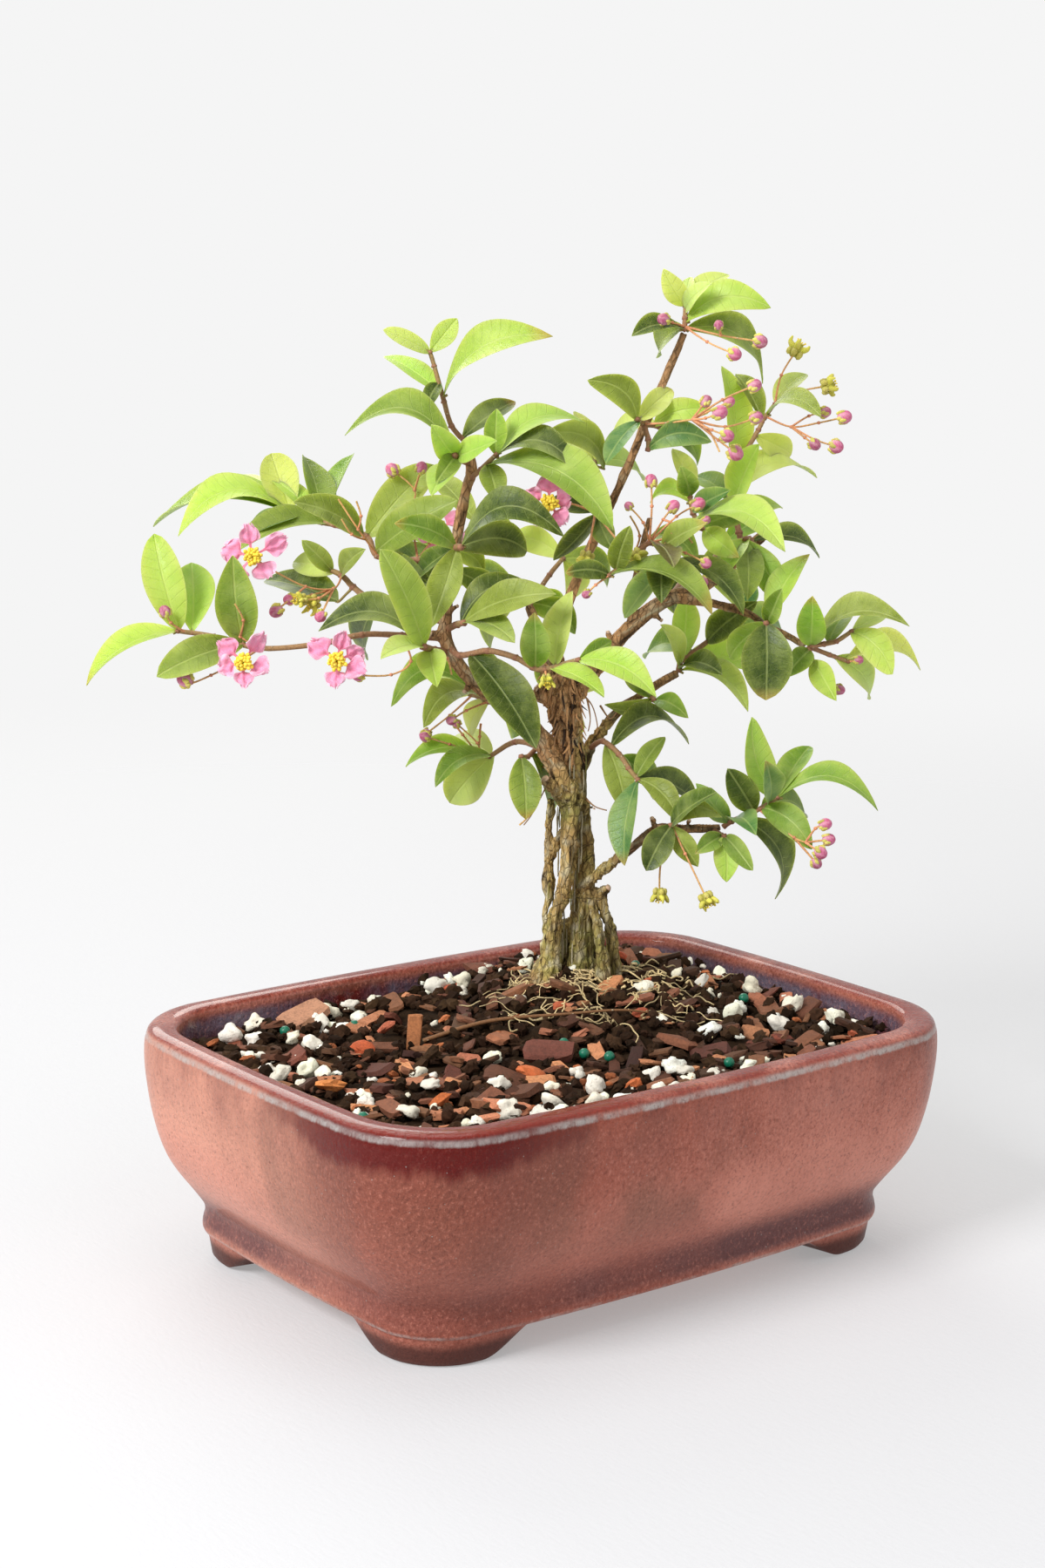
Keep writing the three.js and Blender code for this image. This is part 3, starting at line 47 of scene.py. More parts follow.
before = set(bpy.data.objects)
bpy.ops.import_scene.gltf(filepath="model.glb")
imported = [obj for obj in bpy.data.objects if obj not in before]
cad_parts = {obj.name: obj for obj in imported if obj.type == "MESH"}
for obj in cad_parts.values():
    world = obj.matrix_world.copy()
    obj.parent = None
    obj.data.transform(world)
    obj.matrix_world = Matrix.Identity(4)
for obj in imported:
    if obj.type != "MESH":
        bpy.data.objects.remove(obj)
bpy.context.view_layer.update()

MM = 0.001
POT_BOX = [np.array(corner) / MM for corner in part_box("pot")]
POT_MIDDLE = np.array([*((POT_BOX[0] + POT_BOX[1]) / 2)[:2], 0.0])


# Places on the tree, in millimetres from under the middle of the pot. The tree is drawn as seen from
# its front: a distance to the right of the trunk, a height, and a distance forward towards FRONT_EYE.
TRUNK_FOOT = np.array([36.0, 30.0, 0.0])
FRONT_EYE = np.array([-462.0, -583.0, 280.0])
ACROSS = np.array([0.7895, -0.6137, 0.0])
BEHIND = np.array([-ACROSS[1], ACROSS[0], 0.0])
UP = np.array([0.0, 0.0, 1.0])


def unit(v):
    return v / max(np.linalg.norm(v), 1e-9)


def place(across, height, forward=0.0):
    point = TRUNK_FOOT + across * ACROSS + height * UP
    return point + forward * unit(FRONT_EYE - point)


def places(path):
    return [place(*spot) for spot in path]


def from_foot(x, y):
    """How far a spot is from the middle of the trunk's foot, seen from above."""
    return math.hypot(x - TRUNK_FOOT[0], y - TRUNK_FOOT[1])


def compass(turn, rise=0.0, reach=1.0):
    """A way out at an angle round the height axis."""
    return np.array([math.cos(turn) * reach, math.sin(turn) * reach, rise])


def turned(towards):
    """A turn that takes +Z to a direction."""
    z = unit(np.asarray(towards, float))
    x = unit(np.cross([0.13, 1.0, 0.21], z))
    return np.stack([x, np.cross(z, x), z], 1)


def held(value):
    return min(1.0, max(0.0, value))


def blend(first, second, share):
    return first * (1 - share) + second * share


def paler(draw, tone, low, high):
    """The tone made paler or darker at random."""
    return np.clip(np.asarray(tone) * draw.uniform(low, high), 0, 1)


def srgb(red, green, blue):
    """A colour as seen on a screen, 0 to 255, as the linear light that materials use."""
    share = [v / 255 for v in (red, green, blue)]
    return tuple(s / 12.92 if s < 0.04045 else ((s + 0.055) / 1.055) ** 2.4 for s in share)


def numbers(text):
    """A row of a table: its numbers, and names where it has them."""
    return [word if word.isalpha() else float(word) for word in text.split()]


def spots(text):
    """Places written as numbers, with commas between the places."""
    return [numbers(row) for row in text.split(",")]


def courses(text):
    """One path to a line: its places and, after a colon, its radius at each of them."""
    rows = [line.split(":") for line in text.replace(",\n", ",").strip().splitlines()]
    return [(spots(path), numbers(radii)) for path, radii in rows]


class Sheaf:
    """Points, faces and paint of one piece, gathered before they become a mesh"""

    def __init__(self):
        self.points, self.tints, self.grains = [], [], []
        self.faces, self.looks = [], []
        self.count = 0

    def add(self, points, faces, tints, grains=None, look=0):
        """tints: linear colour and a share from 0 to 1. grains: two distances along the surface."""
        many = len(points)
        tints = np.asarray(tints, float)
        if tints.ndim == 1:
            tints = np.tile(tints, (many, 1))
        if tints.shape[1] == 3:
            tints = np.hstack([tints, np.zeros((many, 1))])
        self.points.append(np.asarray(points, float))
        self.tints.append(tints)
        self.grains.append(np.zeros((many, 2)) if grains is None else np.asarray(grains, float))
        self.faces += [tuple(self.count + i for i in face) for face in faces]
        self.looks += [look] * len(faces)
        self.count += many


def put_in_scene(name, data):
    thing = bpy.data.objects.new(name, data)
    bpy.context.scene.collection.objects.link(thing)
    return thing


def add_values(mesh, name, kind, values):
    """Gives every point of a mesh a colour or a place of its own, for its material."""
    layer = mesh.attributes.new(name, kind, "POINT")
    field = "color" if kind == "FLOAT_COLOR" else "vector"
    layer.data.foreach_set(field, values.astype(np.float32).ravel())


def make_smooth(mesh, sharp=None):
    """Rounds the shading of all faces, apart from edges sharper than an angle in degrees."""
    mesh.polygons.foreach_set("use_smooth", [True] * len(mesh.polygons))
    if sharp:
        mesh.set_sharp_from_angle(angle=math.radians(sharp))


def make_piece(name, sheaf, materials, nodes=()):
    """A mesh of the sheaf that rides on the object and stands for those CAD nodes."""
    points = (np.concatenate(sheaf.points) + POT_MIDDLE) * MM
    mesh = bpy.data.meshes.new(name)
    mesh.from_pydata(points.tolist(), [], sheaf.faces)
    mesh.polygons.foreach_set("material_index", sheaf.looks)
    make_smooth(mesh)
    add_values(mesh, "tint", "FLOAT_COLOR", np.concatenate(sheaf.tints))
    corners = np.zeros(len(mesh.loops), np.int32)
    mesh.loops.foreach_get("vertex_index", corners)
    grain = mesh.uv_layers.new(name="grain")
    grain.data.foreach_set("uv", np.concatenate(sheaf.grains)[corners].astype(np.float32).ravel())
    for material in materials:
        mesh.materials.append(material)
    mesh.update()
    thing = put_in_scene(name, mesh)
    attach(thing, "root")
    if nodes:
        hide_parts(*nodes)
    return thing


def ring_faces(rings, sides, start=0):
    """The faces between rings of equal count, one above the other."""
    lanes = [(k, (k + 1) % sides) for k in range(sides)]
    lows = [start + i * sides for i in range(rings - 1)]
    return [(low + k, low + j, low + sides + j, low + sides + k) for low in lows for k, j in lanes]


def fan(tip, start, sides, below=False):
    """The faces from a ring to one point above it, or below it."""
    pairs = [(start + k, start + (k + 1) % sides) for k in range(sides)]
    return [(tip, *(pair[::-1] if below else pair)) for pair in pairs]


def sheet_grid(rows, lanes):
    """How far along a sheet each of its points is, from 0 to 1, and how far aside, from -1 to 1."""
    return np.meshgrid(np.linspace(0, 1, rows + 1), np.linspace(-1, 1, lanes + 1), indexing="ij")


def sheet_faces(rows, lanes):
    """The faces of a thin sheet: its upper points come first, then as many lower ones."""
    wide, many, faces = lanes + 1, (rows + 1) * (lanes + 1), []
    for i in range(rows):
        for k in range(lanes):
            a, d = i * wide + k, (i + 1) * wide + k
            faces += [(a, a + 1, d + 1, d), (many + a, many + d, many + d + 1, many + a + 1)]
        for k in (0, lanes):
            a, d = i * wide + k, (i + 1) * wide + k
            rim = (a, d, many + d, many + a)
            faces.append(rim[::-1] if k else rim)
    last = rows * wide
    for k in range(lanes):
        faces.append((k + 1, k, many + k, many + k + 1))
        faces.append((last + k, last + k + 1, many + last + k + 1, many + last + k))
    return faces


def smooth_path(points, radii, steps):
    """A rounded course through the points, with the radii that go with it."""
    points = [np.asarray(p, float) for p in points]
    last = len(points) - 1
    radii = [radii[min(i, len(radii) - 1)] for i in range(last + 1)]
    course, widths = [], []
    for i in range(last):
        before, start, end, after = (points[max(i - 1, 0)], points[i], points[i + 1],
                                     points[min(i + 2, last)])
        for k in range(steps):
            t = k / steps
            course.append(0.5 * (2 * start + (end - before) * t
                                 + (2 * before - 5 * start + 4 * end - after) * t ** 2
                                 + (3 * start - before - 3 * end + after) * t ** 3))
            widths.append(radii[i] + (radii[i + 1] - radii[i]) * t)
    return np.array(course + [points[last]]), np.array(widths + [radii[last]])


def tube(sheaf, points, radii, tint, sides=7, steps=5, look=0, knobs=0.0, draw=None, tip_tint=None):
    """A round stem. knobs roughens it, and its colour may change towards its tip."""
    course, widths = smooth_path(points, radii, steps)
    many = len(course)
    ahead = np.gradient(course, axis=0)
    across = unit(np.cross(ahead[0], [0.31, 0.22, 1.0]))
    turns = np.arange(sides) / sides * 2 * math.pi
    rings, grains = [], []
    run = 0.0
    for i in range(many):
        along = unit(ahead[i])
        across = unit(across - (across @ along) * along)
        if i:
            run += np.linalg.norm(course[i] - course[i - 1])
        swell = np.ones(sides)
        if knobs:
            swell += knobs * np.array([draw.uniform(-1, 1) for _ in range(sides)])
        reach = widths[i] * swell
        rings.append(course[i] + np.outer(np.cos(turns) * reach, across)
                     + np.outer(np.sin(turns) * reach, np.cross(along, across)))
        grains.append(np.stack([np.full(sides, run), turns * widths[i]], 1))
    foot = many * sides
    faces = ring_faces(many, sides) + fan(foot, 0, sides, True) + fan(foot + 1, foot - sides, sides)
    share = np.append(np.repeat(np.linspace(0, 1, many), sides), [0, 1])[:, None]
    start = np.asarray(tint, float)
    end = start if tip_tint is None else np.asarray(tip_tint, float)
    sheaf.add(np.vstack([*rings, course[:1], course[-1:]]), faces,
              np.hstack([blend(start, end, share), share]),
              np.vstack([*grains, [[0, 0]], [[run, 0]]]), look)


def ball_of(rings, sides):
    """Points and faces of a ball with a radius of one."""
    points = [(0.0, 0.0, -1.0)]
    for i in range(1, rings):
        lean = math.pi * i / rings
        for k in range(sides):
            turn = 2 * math.pi * (k + 0.5 * (i % 2)) / sides
            points.append((math.sin(lean) * math.cos(turn), math.sin(lean) * math.sin(turn),
                           -math.cos(lean)))
    points.append((0.0, 0.0, 1.0))
    top = len(points) - 1
    faces = fan(0, 1, sides, True) + ring_faces(rings - 1, sides, 1) + fan(top, top - sides, sides)
    return np.array(points), faces


SMALL_BALL, MID_BALL, FINE_BALL = ball_of(4, 6), ball_of(6, 9), ball_of(10, 14)


def lump(sheaf, centre, size, towards, tint, ball=SMALL_BALL, look=0, rough=0.0, seed=0.0, scale=1.6):
    """A ball stretched to a size in three directions and turned, with noise for its dents."""
    points, faces = ball
    made = points.copy()
    if rough:
        made *= np.array([[1 + rough * noise.noise(Vector(p * scale + seed))] for p in points])
    made = (made * (np.asarray(size, float) / 2)) @ turned(towards).T + centre
    tints = np.tile(np.append(tint, 0.0), (len(points), 1))
    tints[:, 3] = (points[:, 2] + 1) / 2
    sheaf.add(made, faces, tints, points[:, :2] * size[0], look)


class Shade:
    """A value, colour or direction in a material, with Python's own signs for the maths."""

    def __init__(self, paint, socket):
        self.paint = paint
        self.socket = socket

    def maths(self, operation, *values):
        return self.paint.node("ShaderNodeMath", {"operation": operation}, dict(enumerate(values)))

    def __add__(self, other):
        return self.maths("ADD", self, other)

    def __sub__(self, other):
        return self.maths("SUBTRACT", self, other)

    def __rsub__(self, other):
        return self.maths("SUBTRACT", other, self)

    def __mul__(self, other):
        return self.maths("MULTIPLY", self, other)

    def __truediv__(self, other):
        return self.maths("DIVIDE", self, other)

    def __abs__(self):
        return self.maths("ABSOLUTE", self)

    def __mod__(self, other):
        return self.maths("FLOORED_MODULO", self, other)

    __radd__ = __add__
    __rmul__ = __mul__

    def between(self, low, high):
        """0 below low, 1 above high and a soft rise between; high may be the lower one."""
        settings = {"interpolation_type": "SMOOTHSTEP", "clamp": True}
        return self.paint.node("ShaderNodeMapRange", settings,
                               {"Value": self, "From Min": low, "From Max": high})

    def axis(self, name):
        return self.paint.node("ShaderNodeSeparateXYZ", {}, {0: self}, "XYZ".index(name))


class Paint:
    """One material, whose finish goes to its Principled shader."""

    def __init__(self, name, **constants):
        self.material = bpy.data.materials.new(name)
        self.material.use_nodes = True
        self.tree = self.material.node_tree
        self.shader = self.tree.nodes["Principled BSDF"]
        for socket, value in constants.items():
            self.shader.inputs[socket.replace("_", " ")].default_value = value

    def node(self, kind, settings, values, output=0):
        made = self.tree.nodes.new(kind)
        for key, value in settings.items():
            setattr(made, key, value)
        for key, value in values.items():
            self.feed(made.inputs[key], value)
        return Shade(self, made.outputs[output])

    def feed(self, socket, value):
        if isinstance(value, Shade):
            self.tree.links.new(value.socket, socket)
        elif socket.type == "RGBA" and len(value) == 3:
            socket.default_value = (*value, 1.0)
        else:
            socket.default_value = value

    def place(self):
        """Where a point is on the object, in metres."""
        return self.node("ShaderNodeTexCoord", {}, {}, 3)

    def spot(self, stretch=(1.0, 1.0, 1.0)):
        """Where a point is on the object, in millimetres, stretched along an axis if asked."""
        size = tuple(1 / MM / s for s in stretch)
        return self.node("ShaderNodeVectorMath", {"operation": "MULTIPLY"}, {0: self.place(), 1: size})

    def grain(self):
        return self.node("ShaderNodeUVMap", {"uv_map": "grain"}, {})

    def tint(self):
        return self.node("ShaderNodeAttribute", {"attribute_name": "tint"}, {})

    def cloud(self, size, where=None, detail=4.0, roughness=0.55):
        """Soft noise from 0 to 1 whose blotches are about size millimetres across."""
        values = {"Vector": where or self.spot(), "Scale": 1 / size, "Detail": detail,
                  "Roughness": roughness}
        return self.node("ShaderNodeTexNoise", {}, values)

    def cells(self, size, where=None, feature="F1", output=0):
        """Distance from the middle, or the edge, of cells about size millimetres across."""
        values = {"Vector": where or self.spot(), "Scale": 1 / size}
        return self.node("ShaderNodeTexVoronoi", {"feature": feature}, values, output)

    def flecks(self, size, radius, share):
        """Dots in cells about size millimetres across, in this share of them, picked at random."""
        drawn = self.node("ShaderNodeSeparateColor", {}, {0: self.cells(size, output=1)})
        return self.cells(size).between(*radius) * drawn.between(*share)

    def mix(self, factor, first, second):
        return self.node("ShaderNodeMix", {"data_type": "RGBA"}, {0: factor, 6: first, 7: second}, 2)

    def layers(self, shade, *coats):
        """Lays colours over a shade one after another, each given as how much and which."""
        for factor, coat in coats:
            shade = self.mix(factor, shade, coat)
        return shade

    def bump(self, height, depth, under=None):
        """A raised surface: height from 0 to 1, depth in millimetres."""
        values = {"Height": height, "Distance": depth * MM, "Strength": 1.0}
        if under is not None:
            values["Normal"] = under
        return self.node("ShaderNodeBump", {}, values)

    def finish(self, colour, roughness=None, normal=None, coat=None):
        for socket, value in (("Base Color", colour), ("Roughness", roughness),
                              ("Normal", normal), ("Coat Weight", coat)):
            if value is not None:
                self.feed(self.shader.inputs[socket], value)
        return self.material


FINISHES = {}


def finish_of(name, maker, *details, **constants):
    """Makes a finish once and gives the same one to every piece that asks for it."""
    if name not in FINISHES:
        FINISHES[name] = maker(name, *details, **constants)
    return FINISHES[name]


# What a user would change
def colour(name, description, *shade):
    return bpy.props.FloatVectorProperty(name=name, description=description, subtype="COLOR",
                                         size=3, min=0.0, max=1.0, default=srgb(*shade))


def distance(name, description, millimetres):
    return bpy.props.FloatProperty(name=name, description=description, unit="LENGTH", precision=5,
                                   subtype="DISTANCE", min=0.0, default=millimetres * MM)


def count(name, description, default):
    return bpy.props.IntProperty(name=name, description=description, default=default, min=0)


def strength(name, description, default, unit="NONE"):
    return bpy.props.FloatProperty(name=name, description=description, default=default, min=0.0,
                                   unit=unit)


class PotSettings(bpy.types.PropertyGroup):
    rose: colour("Rose glaze", "Glaze where it is of middling thickness", 163, 87, 68)
    blush: colour("Blush glaze", "Pale glaze where it runs thin", 218, 142, 122)
    oxblood: colour("Oxblood glaze", "Dark red glaze where it pools", 94, 9, 3)
    mauve: colour("Mauve shade", "Greyish glaze low on the wall", 110, 68, 66)
    # This pale colour is also laid on as painted highlight: on the lower lip, and in part along the
    # rim's edge.
    frost_and_highlight: colour("Frosted line", "Pale line where the glaze breaks over the rim", 190, 190, 186)
    clay: colour("Fired clay", "Feet and underside", 72, 36, 30)
    speck: distance("Speck size", "Size of the small white specks in the glaze", 1.6)


class SoilSettings(bpy.types.PropertyGroup):
    crumb: colour("Crumb", "Dark crumbs of peat", 58, 41, 26)
    bark_chip: colour("Bark chip", "Chips of bark", 150, 98, 68)
    perlite: colour("Perlite", "White lumps", 252, 245, 232)
    fired_bit: colour("Clay bit", "Bits of orange fired clay", 204, 118, 70)
    prill: colour("Fertiliser", "Round green fertiliser prills", 16, 112, 84)
    root: colour("Fine root", "Thin roots on the surface", 240, 214, 158)
    crumbs: count("Crumbs", "Number of dark crumbs", 1500)
    chips: count("Chips", "Number of small bark chips", 340)
    lumps: count("Lumps", "Number of small perlite lumps", 125)


class BarkSettings(bpy.types.PropertyGroup):
    brown: colour("Brown bark", "Ridges of the trunk", 188, 155, 98)
    dark: colour("Furrow", "Furrows between the ridges", 46, 31, 19)
    moss: colour("Moss", "Green growth on the lower trunk", 152, 146, 80)
    lichen: colour("Lichen", "Grey patches", 200, 190, 158)
    red: colour("Young bark", "Reddish bark of the limbs", 174, 132, 90)
    cut: colour("Cut wood", "Old pruning cuts", 214, 180, 150)
    voxel: distance("Fineness", "Size of the bark's facets", 0.5)


class LeafSettings(bpy.types.PropertyGroup):
    pale: colour("Pale leaf", "Youngest leaves, lit through", 198, 216, 118)
    bright: colour("Bright leaf", "Young leaves", 158, 194, 72)
    fresh: colour("Fresh leaf", "Leaves just grown", 122, 158, 48)
    middle: colour("Middle leaf", "Grown leaves", 86, 124, 20)
    olive: colour("Olive leaf", "Older leaves", 110, 128, 42)
    deep: colour("Deep green leaf", "Leaves half in the shade", 50, 80, 8)
    dark: colour("Dark leaf", "Leaves in the shade", 28, 54, 4)
    teal: colour("Blue-green leaf", "Leaves with a cool sheen", 44, 108, 58)
    dry: colour("Dry leaf", "Leaf that has withered on its twig", 74, 48, 34)
    stem: colour("Green stem", "Tips of the shoots", 168, 150, 88)
    twig: colour("Twig", "Woody part of the shoots", 164, 116, 88)
    thickness: distance("Blade", "Thickness of a leaf", 0.3)


class FlowerSettings(bpy.types.PropertyGroup):
    pink: colour("Petal", "Middle of a petal", 246, 146, 182)
    blush: colour("Petal edge", "Fringed edge of a petal", 254, 214, 228)
    claw: colour("Petal claw", "Narrow foot of a petal", 238, 140, 166)
    bud: colour("Bud", "Closed flower bud", 186, 84, 122)
    calyx: colour("Calyx", "Glands behind a flower", 216, 206, 104)
    stalk: colour("Flower stalk", "Thin reddish stalks", 236, 158, 118)
    star: colour("Spent flower", "Flower that has dropped its petals", 222, 216, 88)
    stamen: colour("Stamen", "Yellow tuft", 255, 222, 76)
    thickness: distance("Petal sheet", "Thickness of a petal", 0.18)


class StageSettings(bpy.types.PropertyGroup):
    floor: colour("Floor", "Pale studio floor", 176, 176, 178)
    glow: strength("Floor light", "Light from below the pale floor", 0.31)
    sky: strength("Surrounding light", "Strength of the even light", 0.55)
    backdrop: colour("Backdrop", "Plain pale surroundings", 245, 245, 245)
    key: strength("Main light", "Power of the large window light", 6.0, "POWER")


GROUPS = {"bonsai_pot": PotSettings, "bonsai_soil": SoilSettings, "bonsai_bark": BarkSettings,
          "bonsai_leaf": LeafSettings, "bonsai_flower": FlowerSettings, "bonsai_stage": StageSettings}


def shades(group, *names):
    """Colours that a user can set, ready for sums."""
    settings = getattr(bpy.context.scene, f"bonsai_{group}")
    return [np.array(getattr(settings, name)) for name in names]


# Finishes
def glaze_finish(name):
    """Oxblood glaze: rose and blush where it runs thin, dark where it pools under the rim."""
    kiln = bpy.context.scene.bonsai_pot
    paint = Paint(name, Coat_Weight=0.36, Coat_Roughness=0.05, Specular_IOR_Level=0.14)
    level, to_corner = paint.grain().axis("Y"), paint.grain().axis("X")
    near, corner = to_corner.between(125, 15), to_corner.between(54, 10)

    def band(bottom, top):
        return level.between(*bottom) * level.between(*top)

    runs = paint.cloud(4, paint.spot((1, 1, 4)), 6, 0.7)
    drift = paint.cloud(46, paint.spot((1, 1, 1.6)), 3)
    patches = paint.cloud(17, paint.spot((1, 1, 1.3)), 4)
    fine = paint.cloud(1.0, paint.spot((1, 1, 1.15)), 5, 0.78)
    thin = (drift * 0.6 + patches * 0.4 + fine * 0.5 - near * 0.14).between(0.56, 1.05)
    # Painted light: the wall at the pot's left end is laid over with a pale peach.
    lit_left_end = paint.spot().axis("X").between(-97, -107) * paint.spot().axis("Y").between(-88, -50)
    # More blush on the lower middle of the wall: partly glaze that runs thin there, partly painted
    # sheen.
    belly_sheen = band((52, 36), (14, 28))
    smoky = (1 - drift).between(0.46, 0.62) * level.between(20, 36)
    low = band((27, 15), (8.5, 12.5)) * (drift * 1.1 + patches * 0.9 - near * 0.5)
    shoulder = level.between(42, 64) * (runs * 0.3 + patches * 0.6 + fine * 0.2).between(0.36, 0.8)
    depth = corner * 6 + patches * 8 + runs * 8 + fine * 6
    pooled = (level + depth).between(74, 79) * level.between(77, 70)
    rim_top = band((68.6, 70), (80.5, 77.5))
    dusty = paint.mix((patches * 0.7 + fine * 0.5 - corner * 0.5).between(0.5, 0.95),
                      srgb(132, 40, 28), kiln.blush)
    inner = level.between(79.5, 83)
    # Painted reflection: a bluish-grey gloss on the inside wall just below the rim.
    painted_gloss = inner * (drift + runs * 0.5).between(0.5, 0.9) * level.between(94, 84)
    uneven = level + runs * 1.6 - 0.8
    # The pale frosted line along the rim's outer edge: partly glaze breaking over the edge, partly a
    # painted highlight.
    edge = uneven.between(66.8, 67.7) * uneven.between(69.4, 68.2)
    # Painted highlight: a broken pale line round the lower lip of the wall.
    lip_highlight = band((8.2, 8.7), (9.9, 9.2)) * (runs + drift * 0.4).between(0.5, 0.95)
    specks = paint.flecks(kiln.speck / MM, (0.17, 0.07), (0.84, 0.88))
    bare = level.between(8.3, 4.0)
    wall = paint.layers(
        kiln.rose, (thin, kiln.blush), (lit_left_end * (0.3 + drift * 0.4), srgb(240, 178, 152)),
        (belly_sheen * (drift * 0.7 + patches * 0.4 - near * 0.2), kiln.blush),
        (smoky * (0.25 + patches * 0.4), srgb(112, 78, 62)), (low, kiln.mauve),
        (shoulder * 0.7, srgb(116, 62, 54)),
        # Painted shade: the wall darkens towards the front corner, from the rim down to the foot.
        (to_corner.between(42, 5) * (0.25 + patches * 0.5), srgb(122, 64, 50)),
        (pooled * (0.2 + corner * 0.8), kiln.oxblood), (rim_top * 0.9, dusty),
        (inner, kiln.oxblood), (painted_gloss * 0.75, srgb(112, 112, 130)),
        (edge * (runs * 0.9 + patches * 0.6).between(0.44, 0.92) * 0.66, kiln.frost_and_highlight),
        (lip_highlight * 0.5, kiln.frost_and_highlight), (specks * 0.5 * level.between(70, 60), kiln.frost_and_highlight),
        (fine.between(0.52, 0.66) * (0.36 - (pooled + rim_top) * 0.28), kiln.blush),
        (fine.between(0.48, 0.34) * 0.5, srgb(94, 40, 30)), (bare * 0.9, kiln.clay))
    rough = 0.3 + fine * 0.2 + bare * 0.3 - pooled * 0.2 - inner * 0.14 - rim_top * 0.14
    skin = paint.bump(paint.cloud(1.7, paint.spot((1, 1, 1.2)), 3) + fine * 0.45, 0.85)
    pits = paint.bump(1 - specks * 0.4, 0.3, skin)
    return paint.finish(wall, rough, pits, 0.24 - pooled * 0.06 + rim_top * 0.3 + inner * 0.3)


def screen_finish(name):
    paint = Paint(name, Specular_IOR_Level=0.4)
    worn = paint.cloud(3)
    shade = paint.mix(worn, srgb(34, 66, 44), srgb(52, 88, 60))
    return paint.finish(shade, 0.5 + worn * 0.2, paint.bump(paint.cloud(0.6), 0.1))


def grit_finish(name, fineness, depth, roughness, dent_shade, **constants):
    """Crumbs, chips and prills: their own tint with painted shade in the dents, and a grainy surface.
    """
    paint = Paint(name, **constants)
    grains = paint.cloud(fineness, detail=6, roughness=0.7)
    rise = grains + paint.cloud(fineness * 5) * 0.5
    shade = paint.mix(rise.between(0.9, 0.55) * dent_shade, paint.tint(), (0.012, 0.008, 0.005))
    return paint.finish(shade, roughness - 0.12 + grains * 0.24, paint.bump(rise, depth))


def perlite_finish(name):
    paint = Paint(name, Specular_IOR_Level=0.3)
    grains = paint.cloud(0.7, detail=6, roughness=0.75)
    # Painted shade: the pits of the perlite are greyed.
    shaded_pits = paint.cells(0.9).between(0.36, 0.1)
    dirt = paint.cloud(4, detail=5, roughness=0.7).between(0.52, 0.72)
    shade = paint.layers(paint.tint(), (dirt * 0.35, srgb(176, 152, 120)),
                         (shaded_pits * 0.16, srgb(150, 140, 124)))
    return paint.finish(shade, 0.7 + grains * 0.2, paint.bump(grains - shaded_pits * 0.4, 0.3))


def bark_finish(name):
    """Ridged bark: long fibres, dark furrows that are partly the bark's own colour and partly painted
    shade, pale flecks and patches of lichen.
    """
    trunk = bpy.context.scene.bonsai_bark
    paint = Paint(name, Specular_IOR_Level=0.25)
    fibre = paint.node("ShaderNodeAttribute", {"attribute_name": "fibre"}, {}, 1)
    fibres = paint.cloud(1.2, fibre, 6, 0.72)
    ridges = paint.cloud(2.2, fibre, 5, 0.62)
    scales = paint.cells(1.7, paint.spot((1, 1, 1.8)), "DISTANCE_TO_EDGE").between(0.0, 0.14)
    furrow = (ridges * 0.7 + fibres * 0.55).between(0.61, 0.48)
    pale = (ridges * 0.6 + fibres * 0.6).between(0.62, 0.76) * paint.cloud(7).between(0.36, 0.56)
    flecks = paint.flecks(1.5, (0.2, 0.1), (0.84, 0.88))
    # The furrows and the cracks round the scales get the dark furrow colour: the bark's own dark and
    # painted shade.
    shade = paint.layers(paint.tint(), (furrow * 0.95, trunk.dark), ((1 - scales) * 0.34, trunk.dark),
                         (pale * 0.85, trunk.lichen), (flecks * 0.7, trunk.lichen))
    height = ridges * 0.7 + fibres * 0.5 + scales * 0.25 + flecks * 0.3
    return paint.finish(shade, 0.78 + fibres * 0.18, paint.bump(height, 1.3))


def twig_finish(name):
    """Young bark with pale raised pores"""
    paint = Paint(name, Specular_IOR_Level=0.35)
    streaks = paint.cloud(0.7, detail=5, roughness=0.65)
    pores = paint.flecks(1.7, (0.26, 0.14), (0.6, 0.66))
    shade = paint.layers(paint.tint(), (streaks.between(0.55, 0.4) * 0.3, srgb(74, 48, 34)),
                         (pores * 0.7, srgb(206, 184, 150)))
    return paint.finish(shade, 0.5 + streaks * 0.25, paint.bump(streaks * 0.5 + pores, 0.25))


